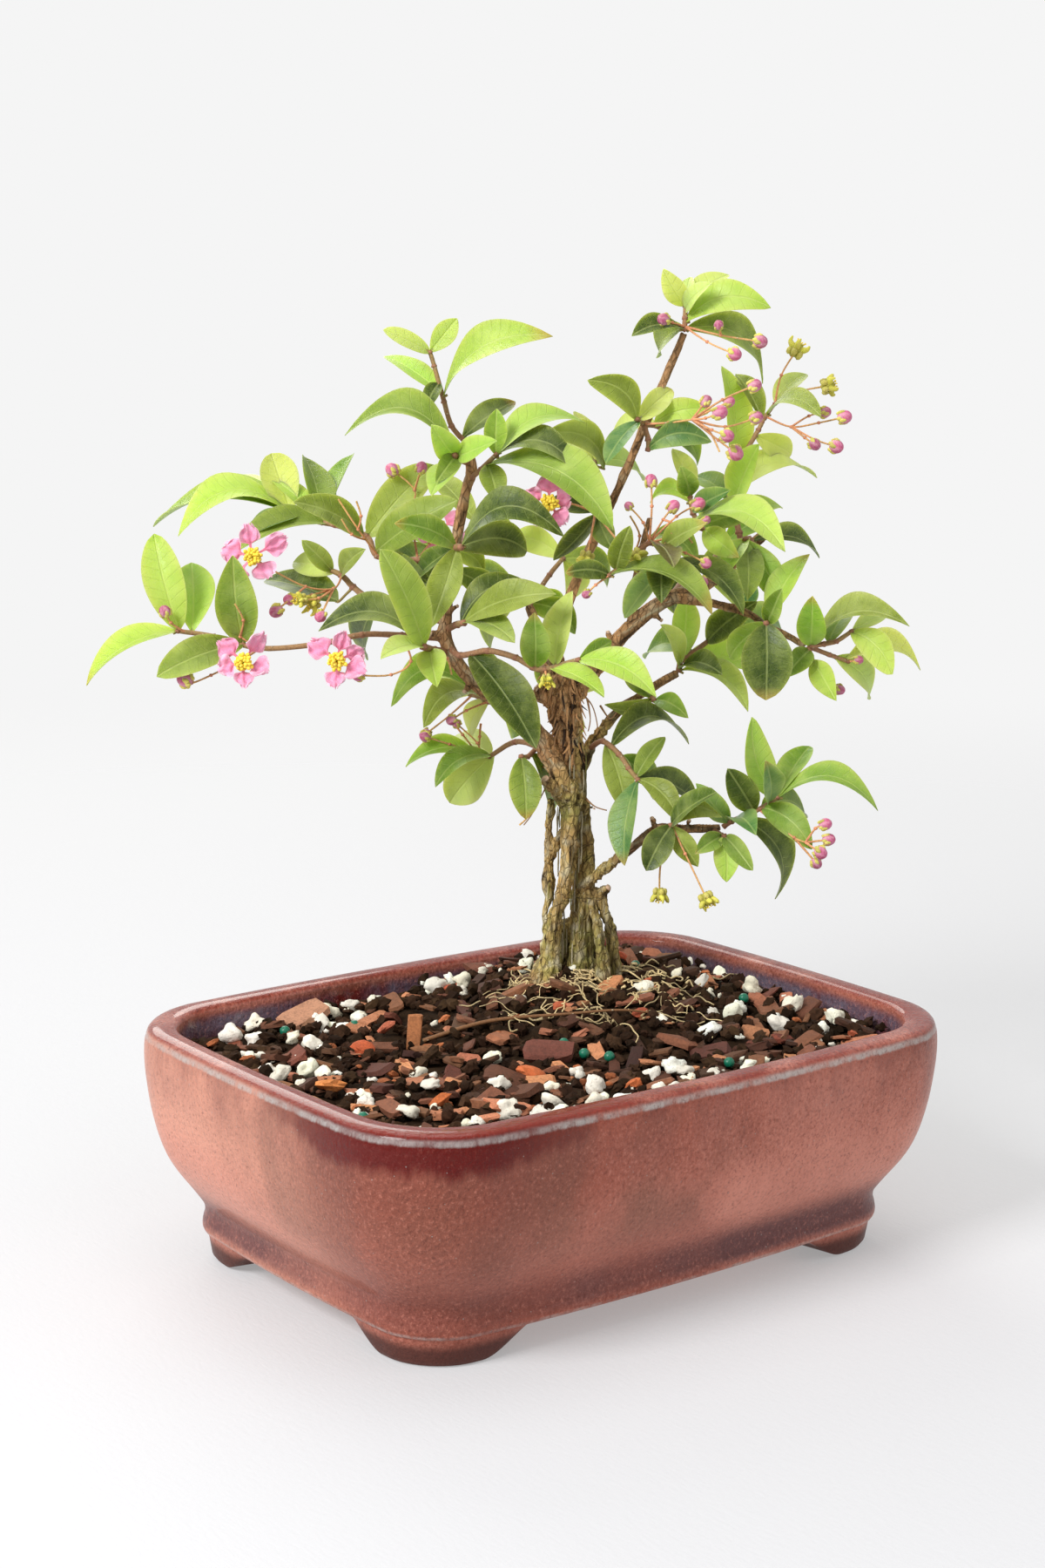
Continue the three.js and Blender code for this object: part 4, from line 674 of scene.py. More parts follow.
def leaf_finish(name):
    """A satin blade: pale midrib, side veins that arch forward, a fine net and a mottled green."""
    paint = Paint(name, Subsurface_Weight=0.6, Subsurface_Radius=(0.9, 1.0, 0.35),
                  Subsurface_Scale=0.0012, Specular_IOR_Level=0.2, Coat_Weight=0.05,
                  Coat_Roughness=0.3)
    grain, tint = paint.grain(), paint.tint()
    along, aside = grain.axis("X"), abs(grain.axis("Y"))
    midrib = aside.between(0.46, 0.12)
    reach = along - aside * 0.72 + aside * aside * 0.035 + paint.cloud(5) * 1.6
    side_veins = abs((reach / 3.1) % 1 - 0.5).between(0.43, 0.5) * aside.between(0.1, 0.9)
    net = paint.cells(1.15, feature="DISTANCE_TO_EDGE").between(0.09, 0.0)
    mottle = paint.cloud(6, detail=5, roughness=0.6)
    fine = paint.cloud(0.8, detail=4)
    sunlit = paint.cloud(19, detail=3).between(0.48, 0.66)
    lighter = paint.mix(0.62, tint, srgb(222, 232, 150))
    shade = paint.layers(
        tint, ((mottle * 0.7 + fine * 0.3).between(0.42, 0.66) * 0.24,
               paint.mix(0.55, tint, srgb(214, 226, 120))),
        (mottle.between(0.5, 0.3) * 0.16, paint.mix(0.5, tint, srgb(40, 60, 12))),
        (side_veins * 0.13, lighter), (net * 0.06, lighter), (midrib * 0.36, lighter),
        (sunlit * 0.3, lighter))
    height = fine * 0.22 - side_veins * 0.5 - midrib * 0.8 - net * 0.16 + mottle * 0.5
    return paint.finish(shade, 0.28 + mottle * 0.2, paint.bump(height, 0.22))


def petal_finish(name):
    paint = Paint(name, Subsurface_Weight=0.35, Subsurface_Radius=(1.0, 0.5, 0.6),
                  Subsurface_Scale=0.001, Sheen_Weight=0.2, Specular_IOR_Level=0.25)
    grain = paint.grain()
    rays = paint.node("ShaderNodeCombineXYZ", {}, {0: grain.axis("X") * 0.16, 1: grain.axis("Y")})
    veins, crumple = paint.cloud(0.55, rays, 3), paint.cloud(1.4)
    shade = paint.mix(veins.between(0.5, 0.72) * 0.35, paint.tint(), srgb(232, 104, 156))
    return paint.finish(shade, 0.55 + crumple * 0.2, paint.bump(veins * 0.6 + crumple, 0.25))


def tuft_finish(name):
    """Buds, calyx glands, stamens and spent flowers: soft matt growth with fine creases, darkened with
    brown as painted shade.
    """
    paint = Paint(name, Subsurface_Weight=0.2, Subsurface_Radius=(0.6, 0.4, 0.25),
                  Subsurface_Scale=0.001, Specular_IOR_Level=0.35)
    creases, tint = paint.cloud(0.5, detail=4), paint.tint()
    shade = paint.layers(
        tint, (paint.cloud(1.7).between(0.5, 0.7) * 0.3, paint.mix(0.5, tint, srgb(250, 226, 200))),
        (creases.between(0.48, 0.34) * 0.14, srgb(120, 70, 44)))
    return paint.finish(shade, 0.5 + creases * 0.2, paint.bump(creases, 0.15))


# The pot's own measures, in millimetres: its outline is drawn in from the rim's edge by an inset.
POT_LONG, POT_SHORT = 204.0, 150.0
LONG_BOW, SHORT_BOW = 3.8, 2.8
CORNER_RADIUS, CORNER_TIGHTENING = 27.0, 0.7
CORNER_PARTS, LONG_PARTS, SHORT_PARTS = 12, 22, 16
CORNERS = [(1, 1), (-1, 1), (-1, -1), (1, -1)]
RIM_WIDTH = 8.5
WALL_FOOT = 8.0
FOOT_TOP, FOOT_INSET, FOOT_INNER = 8.6, 16.6, 30.0
FOOT_START_X, FOOT_START_Y, FOOT_PARTS, FOOT_WIDE = 45, 18, 24, 5
DRAIN_X, DRAIN_RADIUS = 45.0, 9.0
SHARP_POT = 48

# The wall as inset and height, and from the rim on also the level: that goes on rising over the rim
# and down inside, for the paint. Below the rim it is the height.
POT_WALL = [(*row, row[1])[:3] for row in spots(
    "15.6 8, 14.7 8.5 8.7, 14.2 9.9 10, 14.4 12, 14.9 14.2, 14.5 17, 12.6 20.2, 10 24, 7.3 28, 4.7 33,"
    "2.8 39, 1.2 46.5, 0.2 54, -0.3 60, -0.2 65, 0.2 67.4 67.6, 0.8 69 69.2, 2.1 69.9 70.6,"
    "4.8 70.1 74, 7.4 69.8 77, 8.5 68.8 79, 8.9 67 81, 10.1 58 90, 11.5 48 100, 15.4 37 111,"
    "20.5 27 121, 26.5 16 132")]


def rim_extent(inset):
    return POT_LONG / 2 - inset, POT_SHORT / 2 - inset, CORNER_RADIUS - CORNER_TIGHTENING * inset


def bowed(x, y, half_long, half_short):
    u, v = x / half_long, y / half_short
    return x + SHORT_BOW * u * (1 - v * v), y + LONG_BOW * v * (1 - u * u)


def outline(inset, z):
    half_long, half_short, radius = rim_extent(inset)
    ring = []
    for quarter, (sx, sy) in enumerate(CORNERS):
        ax, ay = sx * (half_long - radius), sy * (half_short - radius)
        for k in range(CORNER_PARTS + 1):
            turn = (quarter + k / CORNER_PARTS) * math.pi / 2
            ring.append((ax + radius * math.cos(turn), ay + radius * math.sin(turn)))
        if quarter % 2 == 0:
            start, end, parts = (ax, sy * half_short), (-ax, sy * half_short), LONG_PARTS
        else:
            start, end, parts = (sx * half_long, ay), (sx * half_long, -ay), SHORT_PARTS
        for k in range(1, parts):
            share = k / parts
            ring.append(tuple(a + (b - a) * share for a, b in zip(start, end)))
    return np.array([(*bowed(x, y, half_long, half_short), z) for x, y in ring])


def front_corner_run():
    """How far along the wall the nearest corner is from where the ring of points begins."""
    ring = outline(*POT_WALL[0][:2])
    corner = 2 * (CORNER_PARTS + 1) + LONG_PARTS - 1 + SHORT_PARTS - 1 + CORNER_PARTS // 2
    return np.linalg.norm(np.diff(ring[:corner + 1], axis=0), axis=1).sum()


def add_rings(sheaf, rings, levels, tint):
    """A skin over rings of equal count, closed at both ends."""
    many, rows = len(rings[0]), len(rings)
    gaps = np.linalg.norm(np.diff(rings[0], axis=0, append=rings[0][:1]), axis=1)
    run = np.abs(np.concatenate([[0], np.cumsum(gaps)[:-1]]) - front_corner_run())
    run = np.minimum(run, gaps.sum() - run)
    grains = np.vstack([np.stack([run, np.full(many, level)], 1) for level in levels])
    ends = [tuple(range(many))[::-1], tuple(range((rows - 1) * many, rows * many))]
    sheaf.add(np.vstack(rings), ring_faces(rows, many) + ends, tint, grains)


def foot_columns(sx, sy):
    """Where a foot's sections stand: along one side, round the corner and along the other side."""
    def columns(inset):
        half_long, half_short, radius = rim_extent(inset)
        ax, ay = half_long - radius, half_short - radius
        flat = [(FOOT_START_X + (ax - FOOT_START_X) * k / FOOT_PARTS, half_short)
                for k in range(FOOT_PARTS)]
        flat += [(ax + radius * math.sin(turn), ay + radius * math.cos(turn))
                 for turn in (math.pi / 2 * k / CORNER_PARTS for k in range(CORNER_PARTS + 1))]
        flat += [(half_long, ay + (FOOT_START_Y - ay) * k / FOOT_PARTS)
                 for k in range(1, FOOT_PARTS + 1)]
        return [bowed(sx * x, sy * y, half_long, half_short) for x, y in flat]
    return zip(*(columns(inset) for inset in (FOOT_INSET + 0.9, FOOT_INSET, FOOT_INSET - 1.1,
                                              FOOT_INNER)))


def foot_lift(x, y):
    """How high a foot's underside is: it sweeps up in an ogee at both of its ends."""
    def sweep(reach, low, high):
        share = held((high - reach) / (high - low))
        return FOOT_TOP * share * share * (3 - 2 * share) * 0.99
    return max(sweep(abs(x), 47, 67), sweep(abs(y), 22, 40)) if abs(x) < 67 or abs(y) < 40 else 0.0


def add_foot(sheaf, sx, sy, tint):
    half_short = rim_extent(FOOT_INSET)[1]
    points = []
    for edge, outer, top, inner in foot_columns(sx, sy):
        on_long = abs(outer[1]) > half_short - 2
        low = foot_lift(outer[0], 99) if on_long else foot_lift(99, outer[1])
        points += [(*edge, low), (*outer, min(low + 1.3, FOOT_TOP - 0.1)), (*top, FOOT_TOP),
                   (*inner, FOOT_TOP), (*inner, low)]
    many = len(points)
    faces = ring_faces(many // FOOT_WIDE, FOOT_WIDE)
    faces += [tuple(range(FOOT_WIDE))[::-1], tuple(range(many - FOOT_WIDE, many))]
    if sx * sy < 0:
        faces = [face[::-1] for face in faces]
    sheaf.add(points, faces, tint, [(90, z) for _, _, z in points])


def settle(thing):
    """Applies what a piece's modifiers do to its mesh."""
    graph = bpy.context.evaluated_depsgraph_get()
    mesh = bpy.data.meshes.new_from_object(thing.evaluated_get(graph), preserve_all_data_layers=True,
                                           depsgraph=graph)
    thing.modifiers.clear()
    thing.data = mesh


def drill(thing):
    """Cuts the two drain holes through the pot's floor."""
    turns = np.arange(40) / 40 * 2 * math.pi
    ring = np.stack([DRAIN_RADIUS * np.cos(turns), DRAIN_RADIUS * np.sin(turns), 0 * turns], 1)
    for x in (-DRAIN_X, DRAIN_X):
        plug, middle = Sheaf(), np.array([x, 0.0, 0.0])
        add_rings(plug, [ring + middle, ring + middle + UP * 25], [0, 25], (0, 0, 0))
        mesh = bpy.data.meshes.new("plug")
        mesh.from_pydata(((np.concatenate(plug.points) + POT_MIDDLE) * MM).tolist(), [], plug.faces)
        cutter = put_in_scene("plug", mesh)
        cut = thing.modifiers.new("drain", "BOOLEAN")
        cut.operation, cut.solver, cut.object = "DIFFERENCE", "EXACT", cutter
        settle(thing)
        bpy.data.objects.remove(cutter)


def add_mesh(thing, other):
    """Takes another piece's mesh into this one."""
    both = bmesh.new()
    both.from_mesh(thing.data)
    both.from_mesh(other.data)
    both.to_mesh(thing.data)
    both.free()
    bpy.data.objects.remove(other)


def make_pot():
    clay, = shades("pot", "clay")
    body, feet = Sheaf(), Sheaf()
    wall = smooth_path(POT_WALL, [1.0], 3)[0]
    wall[:, 1] = np.maximum(wall[:, 1], WALL_FOOT)
    add_rings(body, [outline(inset, z) for inset, z, _ in wall], wall[:, 2], clay)
    for sx, sy in CORNERS:
        add_foot(feet, sx, sy, clay)
    glaze = [finish_of("glaze", glaze_finish)]
    pot = make_piece("glazed_pot", body, glaze, ["pot"])
    drill(pot)
    add_mesh(pot, make_piece("feet", feet, glaze))
    make_smooth(pot.data, SHARP_POT)


# The potting mix
SOIL_INSET, SHARP_GRIT = RIM_WIDTH + 1.9, 34
SOIL_EDGE, SOIL_DOME, SOIL_CROWN, MOUND_RADIUS = 61.0, 1.2, 70.0, 46.0

# Lumps and chips that stand out: x, y and size in millimetres, then a chip's turn in degrees, and
# the colour of a chip or clay bit as seen on a screen
BIG_PERLITE = spots("""
-74 56 8, -69 50 7, -60 64 8, -46 51 8, -36 60 8, -31 52 6, -40 46 6.5, -58 36 8, -69 7 5,
-76 -18 5.5, -52 -50 6.5, -36 -49 7.5, -20 -48 6.5, 64 15 6.5, 80 -3 8, 80 -21 9.5, 67 -29 7,
74 -40 6, 84 -36 7, 10 -46 9, 54 -14 5.5, 40 -28 8, 0 55 9, 39 58 7, 52 60 6.5, 84 40 6, 86 20 6,
22 58 6, -84 20 6, -80 36 6, -20 60 6.5, 60 46 6, -26 -8 6, -50 -6 6, 30 -56 6, -86 -30 6, -66 -52 6
""")
BIG_CHIPS = spots("""
-46 60 17 12 206 150 118, -69 28 14 80 120 66 50, -12 -17 15 150 132 76 62, -28 38 13 40 112 62 46,
55 -44 12 20 150 78 58, 46 -43 9 100 120 60 44, -47 -18 12 60 96 52 40, -58 4 13 110 84 48 38,
-66 -12 11 30 100 58 46, 20 58 13 10 140 86 66, -76 50 11 70 132 72 50, 74 44 12 140 98 56 44,
84 -6 9 35 120 66 50, -8 30 12 75 92 52 40, 30 -40 12 160 88 50 40, -40 8 12 15 70 40 32,
4 -36 11 45 62 38 32
""")
BIG_CLAY = spots("""
-79 -5 9 224 140 76, -53 17 8 208 100 60, -27 -28 11 226 122 72, -62 -33 7 206 112 60,
2 51 6 200 96 64, 51 12 5 206 104 66, 63 40 6 196 92 60, 30 -8 6 186 92 62, -36 30 6 200 110 80,
12 8 5 196 100 66, 78 -50 5 196 100 66, -10 -52 6 206 110 60
""")
UPRIGHT_SPLINTER = (-34, 19)
SMALL_CLAY, SMALL_PRILLS, FOOT_THREADS, TUFT_THREADS = 34, 7, 84, 6
THREAD_TUFTS = [(0, 18), (10, 2), (22, -6), (34, -12), (44, -4), (52, 8), (18, 14)]
BIG_PRILLS = [(-3, -22), (25, -53), (-35, -25), (60, 30), (-60, 48), (70, -10)]


def soil_height(x, y):
    away = from_foot(x, y) / MOUND_RADIUS
    mound = (SOIL_CROWN - SOIL_EDGE) * math.exp(-away * away)
    swell = 0.9 * math.sin(x * 0.16 + 1) * math.cos(y * 0.19)
    return SOIL_EDGE + SOIL_DOME + mound + swell + 0.6 * math.sin(x * 0.41 + y * 0.33)


def room_on_soil(x, y):
    """How far a spot is from the pot's inner wall, in millimetres."""
    half_long, half_short, radius = rim_extent(SOIL_INSET)
    dx = abs(x) - (half_long - radius + SHORT_BOW * 0.4)
    dy = abs(y) - (half_short - radius + LONG_BOW * 0.4)
    return radius - (math.hypot(max(dx, 0), max(dy, 0)) + min(max(dx, dy), 0))


def soil_spot(draw, keep):
    """A spot on the soil at least keep from the wall."""
    while True:
        x, y = draw.uniform(-92, 92), draw.uniform(-66, 66)
        if room_on_soil(x, y) > keep:
            return x, y


def lean(draw, most):
    return unit(np.array([draw.uniform(-most, most), draw.uniform(-most, most), 1.0]))


def add_chip(sheaf, x, y, size, turn, tint, draw, look=0, upright=False):
    """A splintered flake of bark: a low slab with uneven ends and a ribbed face."""
    long, wide, thick = size, size * draw.uniform(0.32, 0.62), size * draw.uniform(0.12, 0.22)
    grid, faces = ball_of(4, 8)
    points = np.sign(grid) * np.abs(grid) ** 0.35
    points *= np.array([[1 + 0.3 * noise.noise(Vector(p * 1.7) + Vector((x, y, size)))] for p in grid])
    points[:, 2] += 0.25 * np.sin(points[:, 1] * 5 + x)
    points *= np.array([long, wide, thick]) / 2
    bearing = math.radians(turn)
    up = lean(draw, 0.2 if upright else 0.45)
    if upright:
        points = points[:, [2, 1, 0]]
    c, s = math.cos(bearing), math.sin(bearing)
    points = points @ np.array([[c, s, 0], [-s, c, 0], [0, 0, 1]])
    base = np.array([x, y, soil_height(x, y) + (long * 0.3 if upright else thick * 0.3 + 0.5)])
    sheaf.add(points @ turned(up).T + base, faces, paler(draw, tint, 0.75, 1.3), points[:, :2], look)


def make_soil():
    mix = bpy.context.scene.bonsai_soil
    draw = random.Random(21)
    crumb, chip = np.array(mix.crumb), np.array(mix.bark_chip)
    bed = Sheaf()
    edge = outline(SOIL_INSET, SOIL_EDGE - 1)
    middle = np.array([TRUNK_FOOT[0] * 0.5, TRUNK_FOOT[1] * 0.3])
    rings = [outline(RIM_WIDTH + inset, z) for inset, z in [(18.4, 17.5), (12.6, 27.4), (3.6, 48)]]
    for share in [1.0, 0.975, *np.linspace(0.94, 0.04, 26)]:
        flat = middle + (edge[:, :2] - middle) * share
        rise = [soil_height(x, y) - 1.2 + 1.5 * noise.noise(Vector((x, y, 3)) * 0.35)
                + 0.8 * noise.noise(Vector((x, y, 9)) * 0.9) for x, y in flat]
        if share == 1.0:
            rise = [SOIL_EDGE - 1.0] * len(flat)
        rings.append(np.column_stack([flat, rise]))
    add_rings(bed, rings, range(len(rings)), crumb * 0.8)
    for _ in range(mix.crumbs):
        x, y = soil_spot(draw, 1.6)
        size = draw.choice([1.6, 2.2, 2.8, 3.4, 4.2, 5.2])
        tone = crumb * draw.uniform(0.45, 1.7) * np.array([1, draw.uniform(0.85, 1.02), 1])
        spread = np.array([size, size * draw.uniform(0.6, 1), size * draw.uniform(0.5, 0.85)])
        lump(bed, (x, y, soil_height(x, y) + size * draw.uniform(-0.05, 0.34)), spread,
             lean(draw, 1.2), np.clip(tone, 0, 1), MID_BALL if size > 3 else SMALL_BALL, 0, 0.75,
             x * 3.1 + y, 2.2)
    for _ in range(mix.chips):
        x, y = soil_spot(draw, 3.5)
        size = draw.choice([3.5, 5, 6.5, 8, 10, 13])
        tone = chip * draw.choice([0.22, 0.4, 0.7, 1.1, 1.9])
        tone = tone * np.array([1.0, draw.uniform(0.85, 1.1), 1.0])
        add_chip(bed, x, y, size, draw.uniform(0, 180), tone, draw, 1)
    for x, y, size, turn, *tone in BIG_CHIPS:
        add_chip(bed, x, y, size, turn, srgb(*tone), draw, 1)
    add_chip(bed, *UPRIGHT_SPLINTER, 13, 60, srgb(204, 132, 84), draw, 1, True)
    for _ in range(SMALL_CLAY):
        x, y = soil_spot(draw, 3)
        size = draw.uniform(2.2, 4.6)
        add_clay(bed, x, y, size, np.array(mix.fired_bit) * draw.uniform(0.5, 1.05), draw)
    for x, y, size, *tone in BIG_CLAY:
        add_clay(bed, x, y, size, srgb(*tone), draw)
    for x, y in BIG_PRILLS + [soil_spot(draw, 4) for _ in range(SMALL_PRILLS)]:
        lump(bed, (x, y, soil_height(x, y) + 2.2), (3.3, 3.2, 3.1), UP, mix.prill, MID_BALL, 2)
    finishes = [finish_of("crumbs", grit_finish, 0.8, 0.35, 0.92, 0.5, Specular_IOR_Level=0.1),
                finish_of("chips", grit_finish, 0.7, 0.3, 0.8, 0.4, Specular_IOR_Level=0.3),
                finish_of("prills", grit_finish, 0.6, 0.06, 0.38, 0.2)]
    potting = make_piece("potting_mix", bed, finishes, ["soil"])
    make_smooth(potting.data, SHARP_GRIT)

    white = Sheaf()
    perlite = np.array(mix.perlite)
    lumps = [(x, y, size) for x, y, size in BIG_PERLITE if room_on_soil(x, y) > 2]
    for _ in range(mix.lumps):
        outer = min([soil_spot(draw, 2.5) for _ in range(2)], key=lambda spot: room_on_soil(*spot))
        lumps.append((*outer, draw.choice([2.2, 3.0, 4.0, 5.2, 6.6])))
    for x, y, size in lumps:
        tone = perlite * draw.uniform(0.8, 1.15) * np.array([1, 1, draw.uniform(0.86, 1)])
        size = size * draw.uniform(0.75, 1.0)
        shape = np.array([size, size * draw.uniform(0.6, 0.95), size * draw.uniform(0.5, 0.85)])
        lump(white, (x, y, soil_height(x, y) + size * draw.uniform(0.06, 0.24) + 0.5), shape,
             lean(draw, 1.0), np.clip(tone, 0, 1), FINE_BALL if size > 3.6 else MID_BALL, 0, 0.75,
             x + y * 1.7, 1.2)
    make_piece("perlite_lumps", white, [finish_of("perlite", perlite_finish)])

    threads = Sheaf()
    pale = np.array(mix.root)
    for _ in range(FOOT_THREADS):
        bearing, off = draw.uniform(math.pi * 0.95, math.pi * 1.95), abs(draw.gauss(0, 17)) + 4
        x, y = TRUNK_FOOT[0] + off * math.cos(bearing), TRUNK_FOOT[1] + off * math.sin(bearing)
        add_thread(threads, x, y, draw.uniform(7, 24), draw.uniform(0.25, 0.6), pale, draw)
    for x, y in THREAD_TUFTS:
        for _ in range(TUFT_THREADS):
            add_thread(threads, x + draw.uniform(-7, 7), y + draw.uniform(-7, 7),
                       draw.uniform(8, 24), draw.uniform(0.25, 0.5), pale, draw)
    long_root = [(-32, 17), (-12, 12), (8, 2), (24, -8), (38, -14)]
    course = [np.array([x, y, soil_height(x, y) + 2.6 + 0.8 * (i % 2)])
              for i, (x, y) in enumerate(long_root)]
    tube(threads, course, [0.7, 0.65, 0.5, 0.4, 0.25], srgb(132, 92, 58), 6, 8)
    make_piece("fine_roots", threads, [finish_of("twig", twig_finish)])


def add_clay(bed, x, y, size, tone, draw):
    spread = np.array([size, size * draw.uniform(0.5, 0.8), size * draw.uniform(0.35, 0.55)])
    lump(bed, (x, y, soil_height(x, y) + size * 0.16 + 0.9), spread, lean(draw, 0.7), tone,
         MID_BALL, 1, 0.45, x * 1.3 + y, 1.4)


def add_thread(sheaf, x, y, length, radius, tint, draw):
    """A fine root that wanders over the crumbs."""
    bearing = draw.uniform(0, 2 * math.pi)
    course = []
    for _ in range(7):
        if room_on_soil(x, y) < 1.5:
            break
        course.append(np.array([x, y, soil_height(x, y) + 1.6 + draw.uniform(-0.5, 1.6)]))
        bearing += draw.uniform(-0.9, 0.9)
        x, y = x + length / 7 * math.cos(bearing), y + length / 7 * math.sin(bearing)
    if len(course) > 2:
        tube(sheaf, course, [radius, radius * 0.5], paler(draw, tint, 0.45, 1.15), 4, 3)


# Trunk and limbs, a line to each: across, height and forward down its middle, and the radius there
ROOTS = courses("""
-6.4 92 4, -7.7 85 4, -8.4 78 4.2, -9.4 72 5, -11 68 5.5, -12.5 56 6: 2 2.3 2.9 3.9 4.6 3.6
1.6 92 -1, 1.3 80 -1, 1.2 72 -1, 1.2 56 -1: 3.2 3.3 4 3.4
7.3 96 0, 9 90 1, 10.6 84 2, 11.4 74 3, 12.6 56 4: 1.5 1.5 1.6 1.9 1.6
4.5 95 1, 5.6 89 4, 7.2 82 7, 8.2 74 9, 8.6 56 11: 1.3 1.4 1.5 1.8 1.5
-3 88 -4, -3.5 80 -7, -4.5 73 -10, -6 56 -13: 2.6 2.6 3 2.4
3 86 -4, 5.5 78 -8, 8 72 -12, 11 56 -16: 2 2 2.2 1.8
""")
STRANDS = courses("""
-6.9 88 4, -5.6 92 4.5, -3.9 100 5, -2.8 110 5, -2.8 118 4, -2.6 127 3,
-2.6 137 2: 2 2 2 2.4 2.7 3.4 2.4
1.4 90 -1, 1.9 108 -2, 0.5 118 -1, -1 127 0: 3.3 2.9 3 3.6
-9.6 84 1, -9.8 90 0, -9 100 -2, -9.4 108 -3, -8.6 127 -1: 0.9 0.9 2 1.1 1.1
-4.6 117 1, -9.4 107 -2: 1.4 1.2
-2.6 132 0, -3 141 0, -5 156 -2, -6.6 165 -3: 3.6 3.4 5 3.6
-8.5 158 -2, -13.5 161 -1: 3 2.2
2 97 0, 7.6 97.5 0: 2.2 1.5
""")
FLUTES = courses("""
2.2 123 2, -1.5 128.5 4.5, -6.5 136 4.5, -11 143 3.5: 1.8 2.4 2.8 2.6
-1.2 128 0, -1.4 140 0.5, -2.2 152 1, -3 163 0: 1.5 1.1 1.4 1.3
0.4 124 -2, -0.4 138 -3, -1 150 -3, -2 160 -3: 1.2 1 1.2 1.1
-11.5 70 7, -10.4 78 4.5, -9.6 85 2: 1.7 1.1 0.8
-7 125.5 3, -2.5 127 6, 2 125.5 3: 1 1.5 1.1
""")
LIMBS = courses("""
-5 133 1, -12 145 3, -20 153 6, -33 163 8, -41 174 8, -41.5 183 7, -40 195 5, -38.5 205 3,
-36 219 1, -34 226 0, -34.5 231 0: 3.2 2.9 2.4 1.9 2.1 1.8 1.6 1.6 1.6 1.7 1.6
-7 160 -3, -7.5 175 -6, -3.3 190.7 -8, 3.3 206.7 -10, 12 226.5 -10, 18 241.3 -8, 26 261 -6,
29 268.5 -6: 2.6 2 1.6 1.4 1.3 1.3 1.1 1
-3 158 -1, 4 168 -2, 9 174 -4, 14.5 180 -6, 20.5 185.5 -8, 27 189.5 -9, 39 194.3 -12, 48 202.8 -14,
54 208.3 -15: 2.8 2.4 2.3 2.3 2.3 2.2 1.8 1.7 1.6
27 189.5 -9, 38 188 -7, 49.5 185.2 -4, 56 181.4 -2, 63.6 177.5 1, 68 175.3 3: 1.6 1.4 1.2 1.1 1 1
15.5 181 -7, 15 190.5 -6, 18 205 -5, 20 213.5 -4: 1.6 1.3 1.1 0.9
42.2 193.5 -12, 49.5 193.5 -9: 1.2 0.8
-1 133 0, 3 143.5 -6, 6 147.3 -9, 10.3 153 -14, 15 157.3 -18, 24.4 163.5 -25,
29.3 166.3 -28: 2 1.7 1.6 1.5 1.4 1.3 1.2
1 99 0, 9 105.7 5, 15.3 110.8 8, 24 117.7 13, 30 117.8 15, 43.5 118.3 19: 1.6 1.5 1.4 1.4 1.3 1.1
-5 158 -3, -8 166 -16, -12 176 -32, -16 186 -44: 2.6 2.2 1.8 1.4
-2 132 -1, -6 141 -14, -14 150 -30, -20 158 -42: 2.2 1.8 1.5 1.2
""")

# Cut stubs, knots and wisps that only the finished bark has
STUBS = courses("""
-41 176 8, -46 177.5 10: 1.6 1.3
-5 127 4, -10.5 133 8: 2.2 1.5
1 126 3, 4.5 124 5: 1 0.3
-3 161 0, 1 166 3: 2.2 1.6
-9 163 -2, -12 168 0: 1.7 1.1
24 117.7 13, 22.6 121 15: 1.1 0.8
33 118 16, 34 120.5 18: 0.9 0.6
7.4 97.4 0, 9.4 99 2: 1.3 1.1
-33 163 8, -35.5 160 11: 1.2 0.8
-41 184 7, -38 186 9: 1 0.6
9 174 -4, 8 178.5 -2: 1.2 0.8
20.5 185.5 -8, 24 182.5 -6: 1.1 0.7
""")


def bark_tint(point):
    """Mossy olive at the foot, grey-green collar, brown above and red-brown out along the limbs."""
    trunk = bpy.context.scene.bonsai_bark
    s, h = (point - TRUNK_FOOT) @ ACROSS, point[2]
    away = max(0.0, from_foot(*point[:2]) - 12)
    blotch = noise.noise(Vector(point) * 0.12) * 0.5 + noise.noise(Vector(point) * 0.42) * 0.5
    red = min(1.0, max(0.0, (h - 129 - 18 * held((s + 3) / 3)) / 9) * 0.7 + away / 6)
    tone = blend(np.array(trunk.brown), np.array(trunk.red), red)
    moss = held((100 - h) / 24) * 0.62 + math.exp(-((h - 124) / 5) ** 2) * 0.45
    moss = moss * (1 - min(1.0, away / 6)) + 0.16 * (1 - red)
    tone = blend(tone, np.array(trunk.moss), held(moss + blotch * 0.9 * (1 - red)))
    grey = noise.noise(Vector(point) * 0.3 + Vector((7, 3, 1)))
    lichen = max(0.0, grey - 0.12) * 1.7 * (1 - red * 0.6)
    tone = blend(tone, np.array(trunk.lichen), min(1, lichen))
    shaded = 0.9 + 0.6 * blotch
    if away == 0:
        shaded += 0.5 * held((h - 132) / 10)
    # Painted shade: the roots towards the back of the foot are darkened.
    if h < 92:
        shaded *= 1 - 0.62 * held(((point - TRUNK_FOOT) @ BEHIND - 2.6) / 2.5)
    if h < 126:
        shaded += 0.2 - 0.4 * held((s + 2.4) / 2)
    return np.clip(tone * shaded, 0, 1)


